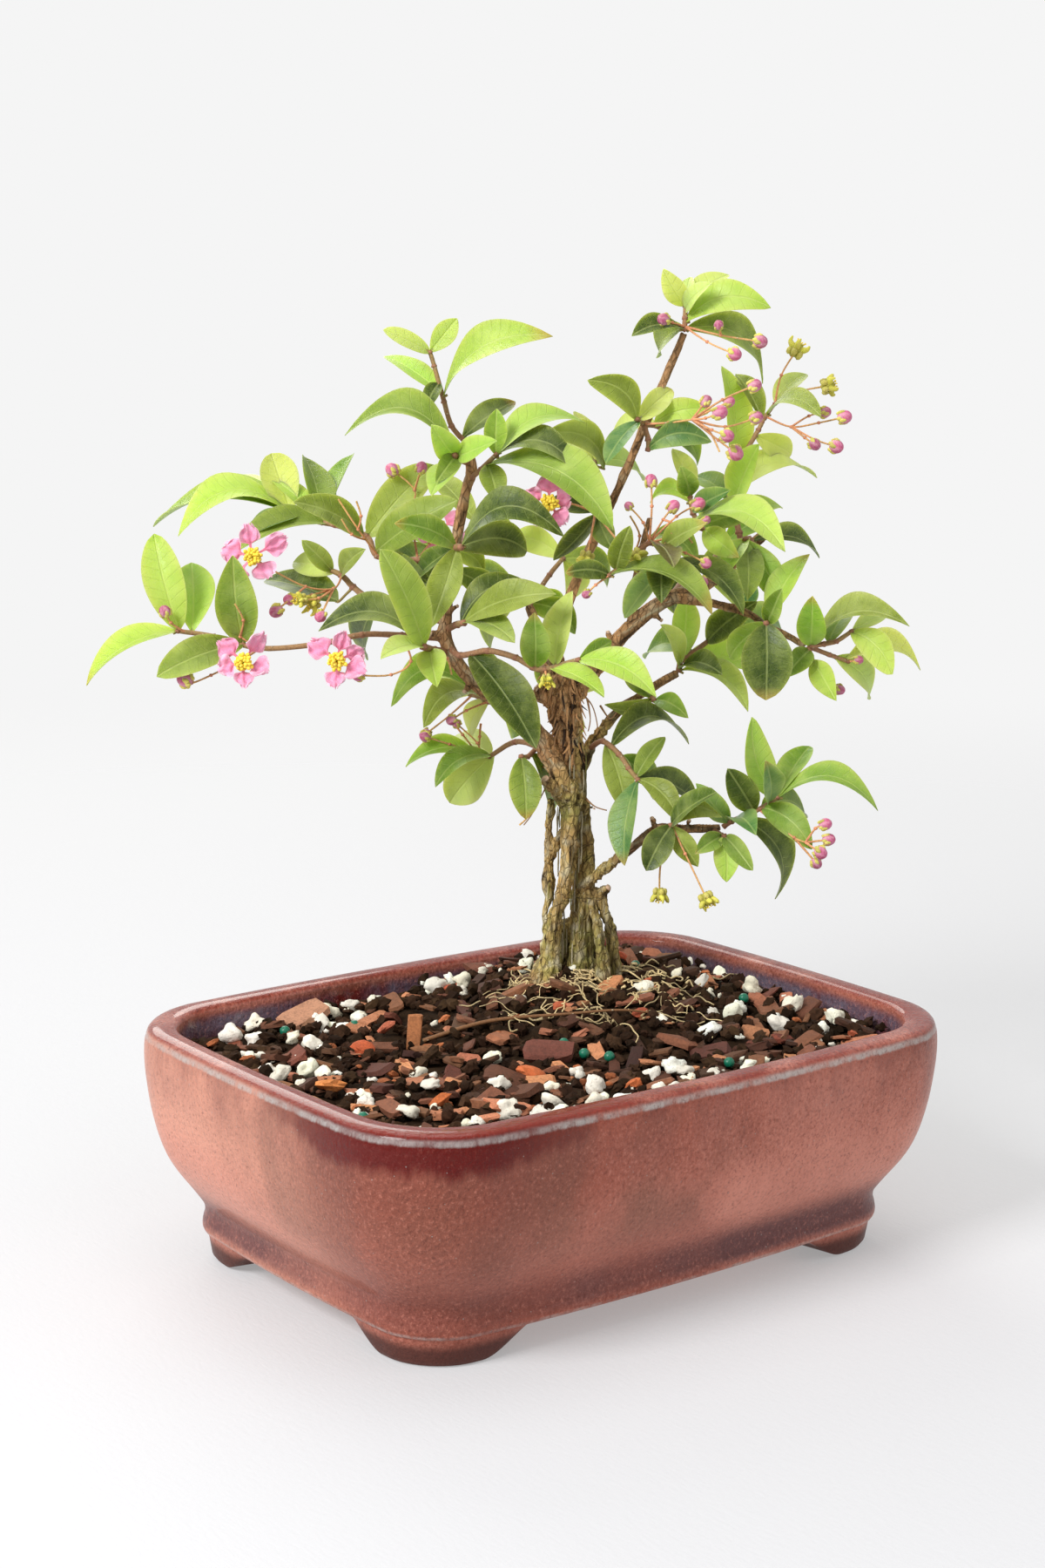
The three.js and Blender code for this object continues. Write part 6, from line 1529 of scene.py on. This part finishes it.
# Each shoot begins with its name. A stem has its path and its first and last radius. A leaf has across
# and height at its base, the same at its tip, the width seen, its tone, how far its tip comes forward
# and its lift. A stalk begins with what it ends in, and the size of that, and then has its path.
SHOOTS = read_shoots("""
left_low
stem: -41 176 8, -55 177 11, -67 177 14, -80 174 17, -98 172.5 20, -112 176 22, -123 177.5 24: 1 0.7
leaves: -123 177 -151.4 161 7 bright 8 2, -122.5 177.5 -129.7 207 12 bright -6,
-118.5 177.5 -118.5 198.7 13 bright -16, -103 174 -106 200.6 12.5 middle 4,
-103 173 -129.5 163.7 10 olive 14
bare: -98 172.5 20, -104 176 22, -109.5 181 24, -110 187 25
bare: -104 176 22, -103 181 25, -105.5 186 27
bud 3.8: -121 177.3 24, -125 180 27, -126.8 183.4 28
bud 5: -98 172.5 20, -104 168.5 26, -113 164 30, -119 161.5 31, -121 162.6 31
bare: -80 174 17, -77 171 24, -74.5 169 30
bare: -98 172.5 20, -101.5 170 28, -103.2 168.1 34
bud 4: -55 177 11, -52 169 16, -58 164.8 18, -68 164.5 20
left_middle
stem: -41 181 7, -52 184.5 2, -63.5 187.5 -3, -69.5 191.5 -6, -73 195 -8, -77.5 197 -9: 1.2 0.8
leaves: -74 187 -96 193 9 dark -22, -76 196 -85 205.5 6 olive 6, -73 195 -66 203 5.5 olive 14,
-75 195.5 -88 199 8 pale -14, -62 187 -66 170.5 7 dark -26
bare: -73 195 -8, -75.5 191 0, -84 191.5 8, -95 197 14, -100 200.5 16
star 7: -75.5 191 0, -82 186.5 6
bud 4.5: -84 191.5 8, -93 184 12
bud 4: -75.5 191 0, -79.5 182.5 9
bud 3.8: -75.5 191 0, -82 189 5, -89 187.5 9
star 5.5: -75.5 191 0, -80 188 7, -85.5 187.5 11
left_upper
stem: -39 203 3, -50 200 -6, -62 201 -13, -65.5 207 -17, -75 210.2 -22, -82 211.5 -25,
-88.7 214 -28: 1.1 0.7
leaves: -88.5 213.6 -122.5 206.6 9 bright 8 8, -89 214 -130 209.7 6 fresh -22 3,
-88.5 214.5 -113.6 221 5 pale -30 1, -88 214 -94 231.5 12 pale -10, -85 212 -101 207 5 teal 18,
-78 210 -105 202.5 8 olive 20 1, -66 208 -87.5 217 9 olive 16 1, -79 211 -84.5 230.5 9 olive -22,
-78 211 -70 231.5 5 middle -26 -2, -80 211.5 -94 224 6 bright -8, -64.5 207 -45 228.5 12 olive -8,
-63 202 -38 218 11 olive 10, -60 201 -46 193 8 dark 12
bare: -62 201 -13, -68 209 -6, -74 218 -4
bare: -68 209 -6, -67.2 213 -4, -68.6 217.5 -3
bare: -66 206 -8, -70 207.5 -2, -73 212 0
bare: -50 200 -6, -46.5 205 -16, -43.5 209 -21.5
bud 4.5: -50 200 -6, -52 214 -13, -51 221 -16, -57.8 227 -17
bud 4: -51 221 -16, -49 227.8 -12
left_inner
stem: -41.2 172 8, -45 172.5 16, -48 173.5 23: 1.3 1
leaves: -48 174 -61 203 11.5 bright 12 -1, -48 174 -80 178.5 9 dark 4 6,
-48 173.5 -61 170 6 pale 16, -46 173 -44 161.5 9 bright 14
bare: -45 172.5 16, -41 170 22, -39.5 165 24
left_shade
stem: -24 156 7, -28 157 -2, -33 159 -10: 1 0.8
leaves: -33 159.5 -58 155 8 middle 6 8, -29 157 -48 149 7 olive 16 5, -33 159 -47 168 8 pale -20,
-28 157 -34 146.5 6 pale -16
bud 4: -33 159 -10, -40 152.5 -14, -47.5 146.5 -18
bud 3.5: -28 157 -2, -35 154 5, -39.5 151 8
left_front
stem: -41 179 7, -38 180.5 16, -36 181 22: 1.1 0.9
leaves: -36 180.5 -8 190 9.5 olive 12 1, -37 181 -15 192.5 8 dark -6 4,
-36 180 -20.5 175.5 6 olive 16 1
left_high
stem: -39 203.5 4, -38 204 12, -37 204 18: 1.1 0.9
leaves: -37 204 -6 208 9.5 dark 10 8, -37.5 203.5 -17 203 11 dark -14 3,
-38 203.5 -46 179.5 10 olive 8, -38 203 -57 211 8 middle 10 1, -38.5 203 -51 193 5 deep -14
crown_left
stem: -34.8 229.5 0, -38 230.5 6, -39 231.5 11: 1.1 0.9
leaves: -38 231.6 -72 237.7 7 olive -4 9, -37.5 232 -46 240.5 8 bright 12,
-38 232 -44.5 223.5 6 olive 12, -37 231 -46 219.5 6 bright 20, -37.5 232 -26.5 236 7 bright 14
crown_left_tip
stem: -34.6 232 -1.5, -35.5 235 -6, -40 240.3 -6, -42.3 247.5 -7, -45.3 258 -8,
-46.6 262 -8: 0.9 0.65
leaves: -42.5 248.8 -10.2 267.3 8 bright 10 5, -46.6 262 -60.5 268.5 5 pale 6 -1,
-46.4 262 -38.5 272 7 pale -4, -42.8 249.5 -60.3 260.8 6 bright -12, -43.5 253 -48 245 5 dark 10,
-37.5 236 -21 247.5 7 dark -14
crown_side
stem: -34.5 224.5 0, -31 227.5 7, -26.5 232 10: 0.9 0.7
leaves: -26.5 232 0 242 7 bright -8 4, -30 228.5 9 210 11 fresh 20 5, -27 231 -1.5 227 7 dark 6 5,
-29 229 -26 217.5 8 olive 10, -26.5 232 -13.5 240 6 olive -20, -27 232 -26.5 245.5 7 fresh 2
front
stem: -40.5 174 8, -37 171 13, -28.6 172.5 17, -20 170.5 22, -14.7 167.5 25, -11 167 26,
-1 170 28: 1 0.8
leaves: -34 171.7 -13.5 142.5 13 dark 16, -14 168 -14.5 184.5 9 middle 8, -8 168 -3 191 8.5 pale -8,
-1 170.5 23 159 9 bright 12 2, -9.5 167 7 159 6 bright 14, -1 170.5 9 176 6 fresh -8
star 5.5: -11 167 26, -10.5 163.5 30
left_lowest
stem: -8.5 140 2, -13 143 -3, -20 144.5 -8, -27.7 140 -12, -31 140.5 -14: 1 0.7
stem: -13 143 -3, -16 140 4, -18 140 8: 0.8 0.7
leaves: -31 140.7 -53.5 136.5 6.5 fresh 4 3, -27 140 -44.3 130.3 7 middle 12 2,
-26 140.5 -40 125 13 pale -12, -18 140 -16.3 120.3 10 olive 8, -15 141 -9.5 119.3 6 olive -22,
-27 140.3 -41 144 7 pale -22
bud 3: -31 140.5 -14, -31.5 144 -12, -38 150 -10
bud 3.6: -31 140.5 -14, -40 143.5 -12, -47.5 145.7 -10
bare: -39.5 151 -9, -36 146.5 -10, -32 141.5 -13
bare: -30.5 150 -11, -30.8 146 -12, -31 141 -14
bare: -8.8 137 0, -12 135.7 -4, -14.7 123 -6, -18.3 118.5 -7
leader_middle
stem: 6 212 -10, 4.5 214 -3, 3.5 215 2: 1 0.8
stem: 4.5 214 -3, 1 221 -8, 2.5 228.5 -14, 3 230 -18: 0.9 0.7
leaves: 3.5 215 -9 219.5 6 dark -8, 3.5 214 -9 200.5 6 dark 6 -2, 4 214 9 203.5 7 deep 10,
6 228 -12.5 238 9 olive 12 5, 5 229 18 225 6 bright -24 1, 4 229.5 -14 233 5 pale -14,
3.5 230 -3 245 7 pale -14
bare: 3.5 215 2, -4 217.5 8, -10.5 217.5 11.5
star 7: 3.5 215 2, 2 206 8, 1 201 10
star 7.5: 3.5 215 2, 10 207 12, 16.2 201.5 16
leader_upper
stem: 17.5 240 -8, 17.5 241.5 -3, 15.5 243 1: 0.9 0.7
stem: 17.5 241.5 -3, 19 237 0, 19 234 1: 0.9 0.7
stem: 17.5 241.5 -3, 21.5 241 -9, 22.5 240.5 -15: 0.9 0.7
leaves: 15.5 243 0.6 254.3 9 olive 8 4, 16 243 26 252 7 pale -8, 20.5 240.5 37.5 246 7 bright 6 2,
19 234 38 236.5 8 teal 4 4, 16 242 6.5 229.5 6 teal 12, 21.5 240.5 8 238 6 pale -16 1,
21.5 240.5 34 229.5 7 middle -14 2
bare: 17.5 241.5 -3, 25 242 4, 32 243 8
bud 4.8: 32 243 8, 36 243.5 13, 40.3 245.2 16
bud 4.3: 32 243 8, 41 249 12, 50.5 253.3 13
bud 4: 32 243 8, 36 248.5 5
bud 3.6: 32 243 8, 38 246 6, 43 248.4 7
bare: 32 243 8, 37 240 6, 40.5 233.5 8
bud 4.3: 32 243 8, 42 241 8, 51.2 243.8 7
bud 4.3: 32 243 8, 38 240 14, 42.7 238.3 17
bud 5: 32 243 8, 40 237 10, 45.3 233.2 12
leader_top
stem: 29.1 269 -6, 29.3 273 -6, 29.3 276.5 -6: 0.9 0.7
leaves: 28.8 276.5 22.5 287.3 7 pale 5, 29.5 276.8 30.5 285 4.5 pale -8, 30 276 42 285.5 6 pale -12,
29.6 275 36.5 283 5 pale 12, 29.5 271.5 54.5 276.5 9 bright 8 5, 28.9 269.5 13.5 267.5 5 dark 10 1,
29.2 269.8 53.3 254.3 8 olive -12 5, 29.2 270.3 22 262 6 olive -22 1
bud 4.5: 29.2 270.5 -6, 40 268 1, 51.8 266.3 4
bud 4: 29.2 270.5 -6, 25.5 271.5 -1, 22.8 272.5 2
bud 4.3: 29.2 270.5 -6, 36 266 3, 44.3 262.5 8
bud 3.2: 40 268 1, 39.3 271 5
centre
stem: 18 204 -5, 15 202 6, 12 199 13, 8 196 18: 1 0.7
stem: 15 202 6, 20 206 8, 24 204.5 9, 26 200 9: 0.9 0.7
leaves: 8 196 39.5 184.5 7 olive 14 4, 26 200 49 184.5 7 dark 8 3, 26 200 13 183 7 teal -6,
25 203 24 188 9 dark 16, 8 196 -5 196.5 6 dark 6 1, 10 197.5 14 211 7 olive 10,
24 204.5 37 212 7 olive 14, 20.5 204 27.5 199 5 dry 22
bud 3.6: 26 200 9, 30 198 16, 36.3 194.3 20
bare: 15 202 6, 17 208 10, 14 214 12
bud 2.8: 20 206 8, 18 212 13, 13.5 217 15
bud 2.8: 20 206 8, 30 209 12, 37 213 14
bare: 24 213 9, 29 211 12, 33 206 14
bare: 24 204.5 9, 27 209 14, 31.5 210.5 16
bud 3.6: 24 204.5 9, 31 203 14, 37.2 200 18
bud 4.2: 20 206 8, 24 213 9, 27 217 10
bud 4.5: 20 206 8, 28 214 5, 34.5 217.8 8
bud 4.2: 20 206 8, 20.5 217 7, 20.1 224.6 7
bud 3: 8 196 18, 4 193 22, 1.2 190.2 24
low_inner
stem: 29.8 166.6 -28, 30.5 170.5 -29, 34 172.7 -30, 39 176.7 -31, 45.7 181.8 -32,
49.5 185.7 -33: 1 0.7
leaves: 30.5 171 31.5 190 9 bright -10, 31 170 60 161 9 bright -14 4, 30 168.5 24.5 181 6 pale 14,
38 176 53 188.5 9 dark 12, 30 167.5 43 166 6 dark 18 2, 30 167 51.3 155 7 pale 10 4,
49.5 185.7 52 194 6 teal -6, 46 182 62 178 8 middle -22 2, 34 172.7 19 171 8 middle -22 2
low_curl
stem: 20 160.5 -22, 22 158.5 -14, 22.5 157.8 -10: 0.9 0.7
leaves: 22 158.5 7.5 156.5 6 olive 6 -3, 22.5 158 33 152.5 6 middle 12 1,
22 158.5 14 168.5 7 middle -8
right_inner
stem: 47.5 202.3 -14, 41 207 -8, 36 210.5 -5, 33 215 -4, 32 220 -5: 1 0.7
stem: 36 210.5 -5, 31 211 2: 0.8 0.7
leaves: 31 211 61 204.3 8 bright 22 5, 36 212 51 216 7 middle -4, 36 210 47 202 8 bright 14,
33 216 44 222 6 teal 12, 32 220 29 229 7 middle 8, 32 220 26.5 234.5 6 pale -10,
32.5 218 20 218 5 bright -8 4
right_upper
stem: 48 204.8 -15, 47 209.5 -17, 43 226 -20, 46 230.8 -21, 48.6 234.2 -22, 52 240.2 -24,
53.7 243.7 -25, 56.7 248 -26: 1 0.6
leaves: 46 217 52.5 236 8 bright 16, 46.5 222 70 226 7 pale -12 5, 46 212 60 217 7 bright -14 2,
51 238.5 62 233 8 pale -14, 54.5 244.5 70.7 244 5 olive 16 4, 44 228 40.8 259 8 bright -10,
53 242.5 45 257 6 olive -12, 56.7 248 66 257 6 pale -14, 45 218 33 226 7 middle -18
star 8: 56.7 248 -26, 58.4 256.5 -27, 62.8 264 -28
star 7.5: 56.7 248 -26, 63 251.5 -24, 72.5 253.5 -24
bud 4.6: 54.5 244 -25, 61.8 241.2 -20, 70 242.5 -17, 77.7 244.3 -15
bud 4: 61.8 241.2 -20, 67 244.5 -22, 71.8 245.7 -24
bud 4.6: 61.8 241.2 -20, 69 237.5 -15, 75.5 235.5 -12
bud 4: 61.8 241.2 -20, 66 238 -14, 69 236 -11
right_stub
stem: 52 206 -15, 50 207.5 -8, 49 207.5 -3: 1 0.8
leaves: 49 207 60.5 187.7 9 fresh 6, 49.5 207.5 50 189 9 olive 16, 51 207 71.7 202.3 6 dark -8 3,
49.5 207.5 43 197 6 bright 14
right_tip
stem: 69 175 3.5, 73.6 175.8 5, 77.5 176.7 6, 82 179.8 7: 0.9 0.65
stem: 69 175 3.5, 70.8 169.6 5, 73.6 165 7: 0.8 0.6
stem: 69 175 3.5, 75.5 172.5 1, 81.3 170.5 0: 0.8 0.6
leaves: 70 176 99.5 181.5 7 olive 14 5, 69.5 176.3 69.8 190 9 fresh 12,
82 179.5 95 166.7 9.5 bright 8 2, 80.5 171 103.3 168 7 pale -10 5, 82 179.8 92.5 184.5 5 pale -8,
70.5 171 78 158.5 7.5 bright 14, 69.5 174 62 165.5 7 middle 14, 75 175.8 86 190 7 middle -16,
77 172 88 159 8 pale -16 2
bud 3.4: 73.6 165 7, 76 163 9, 79 161.8 10
bud 3: 81.3 170.5 0, 84.5 171 2
right_heart
stem: 57 181 -1.5, 56.5 182 6, 56 182 13: 0.9 0.75
leaves: 56 182 56.5 158.3 15.5 dark 5, 56.3 182.3 68.5 203 8 bright -6,
56.3 182.3 60.5 192.5 6 middle 10, 56.5 182 45 171 8 fresh -12 1
low_side
stem: 3.5 143 -4, 7 145 2, 12 141 7, 15 136.7 10, 18 133 12: 0.9 0.7
leaves: 9.5 143.5 33.5 145 7 dark -12 7, 7.8 144.5 14.5 122.7 9 olive 10,
12.5 140.5 22 128 7 middle -18 1, 17.5 134 26 146.5 6 olive -8, 17.8 133 14.5 106 7.5 teal 12,
18 133.3 31 120 7 olive 10 2, 17.8 133.8 37 123 7 dark -14 2
low_right
stem: 44.5 118.6 19.4, 47 120.5 20, 52 122.5 21, 55.7 124.5 22, 61 128 22: 0.9 0.65
leaves: 60.8 128 52.2 153 9 bright 4 -3, 61 128 92 125 7 fresh 8 6, 54 123.5 45.3 137 9 dark 8,
58 126.5 57 139.5 6 teal 14, 56.5 124.5 72 112 9 middle 12 3, 47 121 54.5 116.8 6 teal 22 1,
46 120.5 36 132 7 teal 6, 60.8 128 70.5 144 7 middle -16, 56 124.5 70 122 7 middle -20 2,
49.5 121 61 96 7 dark -10 5
bare: 55.7 124 22, 61.7 119 29, 66.5 115.5 33, 70 114 35
bud 4: 70 114 35, 73 118.5 36, 76 119.8 37
bud 4: 70 114 35, 77.2 115 36
bud 4.2: 70 114 35, 74.8 110.8 38
bud 3.6: 66.5 115.5 33, 73.6 107.5 34
low_front
stem: 30 118.8 15, 29 119 21, 28.5 119 25: 0.9 0.8
leaves: 28.5 119.5 44 121.7 7 olive 8 4, 28.5 118.5 21 104.5 9 dark 8, 28.5 119 37 106 7 olive 4,
28.5 119 42 129.5 6 deep 14
star 6.5: 28.5 119 25, 25.5 107 28, 25.3 97 29
star 7: 28.5 119 25, 33 110 30, 40 95.7 33
low_hanging
stem: 42 117.5 18.5, 44 116 24, 45 115.8 27: 0.8 0.7
leaves: 45 115.5 46 101.3 8 bright 6, 45 115.5 54 105 6 middle 10, 44.5 116 36 110 6 middle 8
back_left
stem: -40 195 4, -40 196 -10, -42 199 -32, -44 203 -50: 1.1 0.7
stem: -42 199 -32, -33 212 -44: 0.8 0.6
leaves: -44 204 -66 208 9 middle -18 3, -44 204 -56 190 9 deep -22 3, -44 203 -30 196 8 olive -12 3,
-42 199 -52 181 9 deep -12, -33 212 -24 202 8 middle -20 2, -33 212 -14 216 9 deep -12 3,
-33 212 -46 226 8 olive -14, -41 197 -26 186 9 deep -12 2
back_trunk
stem: -16.2 186.5 -45, -18 189 -55, -19 190 -64: 1.1 0.7
stem: -16.2 186.5 -45, -10 196 -50, -6 201 -54: 0.9 0.7
leaves: -19 190 -40 190 9 deep -12 4, -19 190 -8 177 9 middle -20 3, -19 190 -28 173 9 olive -16 3,
-6 201 8 193 8 olive -18 3, -6 201 -22 207 9 pale -12 3, -6 201 -5 187 8 pale -22 2,
-16.5 187.5 -2 178 9 middle -6 3
back_right
stem: 28 191 -10, 30 194 -26, 33 197 -44, 35 199 -58: 1.2 0.7
stem: 30 194 -26, 38 200 -38, 42 205 -46: 0.9 0.6
leaves: 35 199 56 200 9 olive -14 4, 35 199 20 208 9 middle -16 3, 35 199 46 186 9 olive -22 3,
33 197 16 192 9 dark -10 4, 42 205 36 222 8 bright -10, 42 205 58 213 8 fresh -12 2,
34 198 29 184 9 dark -16 2
back_low
stem: -20.2 158.5 -43, -23 160 -54, -25 160 -62: 1 0.7
stem: -20.2 158.5 -43, -13 158 -52, -8 157 -58: 0.9 0.7
leaves: -25 160 -44 156 9 pale -10 4, -25 160 -31 172 8 middle -14, -25 160 -20 146 9 middle -14 2,
-8 157 6 162 8 pale -10 3, -8 157 -4 144 8 olive -14 2, -8 157 -12 171 8 olive -12
""")

# Open flowers: name, place of the middle, and the tips of the five petals
FLOWERS = [
    ("left_low", (-103.2, 168.1, 34.5), [(-110.3, 174.8, 34), (-97, 177.3, 34), (-95.5, 165.3, 36),
      (-103, 160, 38), (-111, 166, 36)]),
    ("left_high", (-100, 200.5, 16.5), [(-102, 210.5, 16), (-89.5, 206.5, 14), (-95, 194, 19),
      (-107.5, 191.5, 20), (-109.5, 202.5, 17)]),
    ("left_front", (-74.5, 169, 30.5), [(-83, 174.5, 30), (-72.5, 178, 29), (-66.3, 172.5, 30),
      (-66, 165, 32), (-75, 160.5, 33)]),
    ("shade", (-43.5, 209, -22), [(-51, 209, -22), (-46, 217, -24), (-37, 214, -24), (-35.5, 204, -21),
      (-44.5, 200, -19)]),
    ("centre", (-10.5, 217.5, 12), [(-17.5, 221, 12), (-10.5, 226, 10), (-4, 219.5, 11),
      (-5.5, 211, 14), (-14.5, 210.5, 15)]),
]


# Floor, light and camera
CAMERA_PLACE = np.array([-462.4, -582.6, 279.7])
CAMERA_YAW, CAMERA_PITCH, CAMERA_ROLL = 37.86, 10.64, 0.66
PHOTO_LONG_SIDE, FOCAL_PIXELS = 1800, 3000


def look_at(thing, target):
    way = Vector(target) - thing.location
    thing.rotation_euler = way.to_track_quat("-Z", "Y").to_euler()


def add_lamp(name, where, target, size, power, tone=(1.0, 1.0, 1.0)):
    data = bpy.data.lights.new(name, "AREA")
    data.shape, data.size, data.energy, data.color = "DISK", size, power, tone
    lamp = put_in_scene(name, data)
    lamp.location = where
    look_at(lamp, target)


def add_floor():
    """A pale disc that fades into the surrounding light well outside the object."""
    studio = bpy.context.scene.bonsai_stage
    rings, spokes, reach, depth = 40, 96, 1.3, -0.0004
    points = [(0.0, 0.0, depth)]
    for i in range(1, rings + 1):
        off = reach * (i / rings) ** 1.5
        points += [tuple(compass(2 * math.pi * k / spokes, depth, off)) for k in range(spokes)]
    faces = fan(0, 1, spokes) + [face[::-1] for face in ring_faces(rings, spokes, 1)]
    mesh = bpy.data.meshes.new("floor")
    mesh.from_pydata(points, [], faces)
    floor = put_in_scene("floor", mesh)
    paint = Paint("floor", Specular_IOR_Level=0.1, Roughness=0.9, Emission_Strength=studio.glow,
                  Emission_Color=(1.0, 1.0, 1.0, 1.0))
    away = paint.node("ShaderNodeVectorMath", {"operation": "LENGTH"}, {0: paint.place()}, 1)
    weave = paint.cloud(1.2, paint.spot((1, 3, 1)), 3)
    paint.feed(paint.shader.inputs["Alpha"], away.between(1.15, 0.32))
    mesh.materials.append(paint.finish(tuple(studio.floor), None, paint.bump(weave, 0.12)))


def make_stage():
    studio = bpy.context.scene.bonsai_stage
    add_floor()
    world = bpy.data.worlds.new("studio")
    bpy.context.scene.world = world
    world.use_nodes = True
    nodes, links = world.node_tree.nodes, world.node_tree.links
    sky, seen = nodes["Background"], nodes.new("ShaderNodeBackground")
    sky.inputs["Strength"].default_value = studio.sky
    sky.inputs["Color"].default_value = (1.0, 1.0, 1.0, 1.0)
    seen.inputs["Color"].default_value = (*studio.backdrop, 1.0)
    pick, rays = nodes.new("ShaderNodeMixShader"), nodes.new("ShaderNodeLightPath")
    links.new(rays.outputs["Is Camera Ray"], pick.inputs[0])
    links.new(sky.outputs[0], pick.inputs[1])
    links.new(seen.outputs[0], pick.inputs[2])
    links.new(pick.outputs[0], nodes["World Output"].inputs["Surface"])
    middle = (POT_MIDDLE[0] * MM, POT_MIDDLE[1] * MM, 0.12)
    add_lamp("window", (-1.05, -0.2, 0.85), middle, 0.5, studio.key * 2.6)
    add_lamp("fill", (0.75, -0.9, 0.6), middle, 0.9, studio.key * 0.3)
    add_lamp("back_light", (0.35, 1.1, 0.85), middle, 0.9, studio.key * 1.3, (1.0, 0.99, 0.93))
    add_lamp("top_light", (0.0, 0.1, 1.3), middle, 0.8, studio.key * 0.5)

    yaw, pitch, roll = (math.radians(v) for v in (CAMERA_YAW, CAMERA_PITCH, CAMERA_ROLL))
    ahead = np.array([math.sin(yaw) * math.cos(pitch), math.cos(yaw) * math.cos(pitch),
                      -math.sin(pitch)])
    right = np.array([math.cos(yaw), -math.sin(yaw), 0.0])
    above = np.cross(right, ahead)
    c, s = math.cos(roll), math.sin(roll)
    data = bpy.data.cameras.new("camera")
    data.sensor_width, data.lens = 36.0, 36.0 * FOCAL_PIXELS / PHOTO_LONG_SIDE
    data.clip_start, data.clip_end = 0.05, 20.0
    camera = put_in_scene("camera", data)
    axes = Matrix([c * right + s * above, -s * right + c * above, -ahead]).transposed()
    camera.matrix_world = Matrix.Translation((CAMERA_PLACE + POT_MIDDLE) * MM) @ axes.to_4x4()
    bpy.context.scene.camera = camera
    bpy.context.scene.view_settings.view_transform = "Standard"


# Operators, one for each group of like pieces
class BONSAI_OT_stage(bpy.types.Operator):
    """Pale floor, soft light and the camera at the front of the tree"""
    bl_idname = "bonsai.stage"
    bl_label = "Studio"

    def execute(self, context):
        make_stage()
        return {"FINISHED"}


class BONSAI_OT_pot(bpy.types.Operator):
    """Glazed pot with its feet and drain holes, and the finish of the mesh over the holes"""
    bl_idname = "bonsai.pot"
    bl_label = "Pot"

    def execute(self, context):
        make_pot()
        for side in ("left", "right"):
            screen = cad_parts[f"drain_screen_{side}"]
            screen.data.materials.clear()
            screen.data.materials.append(finish_of("screen_mesh", screen_finish))
        return {"FINISHED"}


class BONSAI_OT_soil(bpy.types.Operator):
    """Potting mix with its bark, clay and perlite, and the fine roots on it"""
    bl_idname = "bonsai.soil"
    bl_label = "Potting mix"

    def execute(self, context):
        make_soil()
        return {"FINISHED"}


class BONSAI_OT_trunk(bpy.types.Operator):
    """Roots, braided trunk and limbs in one ridged bark, with its shaggy strips"""
    bl_idname = "bonsai.trunk"
    bl_label = "Trunk"

    def execute(self, context):
        make_trunk()
        return {"FINISHED"}


class BONSAI_OT_shoots(bpy.types.Operator):
    """Leafy shoots with their buds and spent flowers"""
    bl_idname = "bonsai.shoots"
    bl_label = "Shoots"

    def execute(self, context):
        for shoot in SHOOTS:
            make_shoot(*shoot)
        return {"FINISHED"}


class BONSAI_OT_flowers(bpy.types.Operator):
    """Open flowers and their stamens"""
    bl_idname = "bonsai.flowers"
    bl_label = "Flowers"

    def execute(self, context):
        for flower in FLOWERS:
            make_flower(*flower)
        return {"FINISHED"}


STEPS = [BONSAI_OT_stage, BONSAI_OT_pot, BONSAI_OT_soil, BONSAI_OT_trunk, BONSAI_OT_shoots,
         BONSAI_OT_flowers]


class BONSAI_PT_panel(bpy.types.Panel):
    """The bonsai's pieces, in the order in which they are built"""
    bl_label = "Bonsai"
    bl_idname = "BONSAI_PT_panel"
    bl_space_type = "VIEW_3D"
    bl_region_type = "UI"
    bl_category = "Bonsai"

    def draw(self, context):
        for step in STEPS:
            self.layout.operator(step.bl_idname)
        for group in GROUPS:
            settings = getattr(context.scene, group)
            box = self.layout.box()
            for name in settings.bl_rna.properties.keys()[2:]:
                box.prop(settings, name)


def register():
    for kind in [*GROUPS.values(), *STEPS, BONSAI_PT_panel]:
        bpy.utils.register_class(kind)
    for name, kind in GROUPS.items():
        setattr(bpy.types.Scene, name, bpy.props.PointerProperty(type=kind))


def unregister():
    for name in GROUPS:
        delattr(bpy.types.Scene, name)
    for kind in [BONSAI_PT_panel, *reversed(STEPS), *GROUPS.values()]:
        bpy.utils.unregister_class(kind)


def main():
    register()
    for step in STEPS:
        group, name = step.bl_idname.split(".")
        getattr(getattr(bpy.ops, group), name)()


if __name__ == "__main__":
    main()
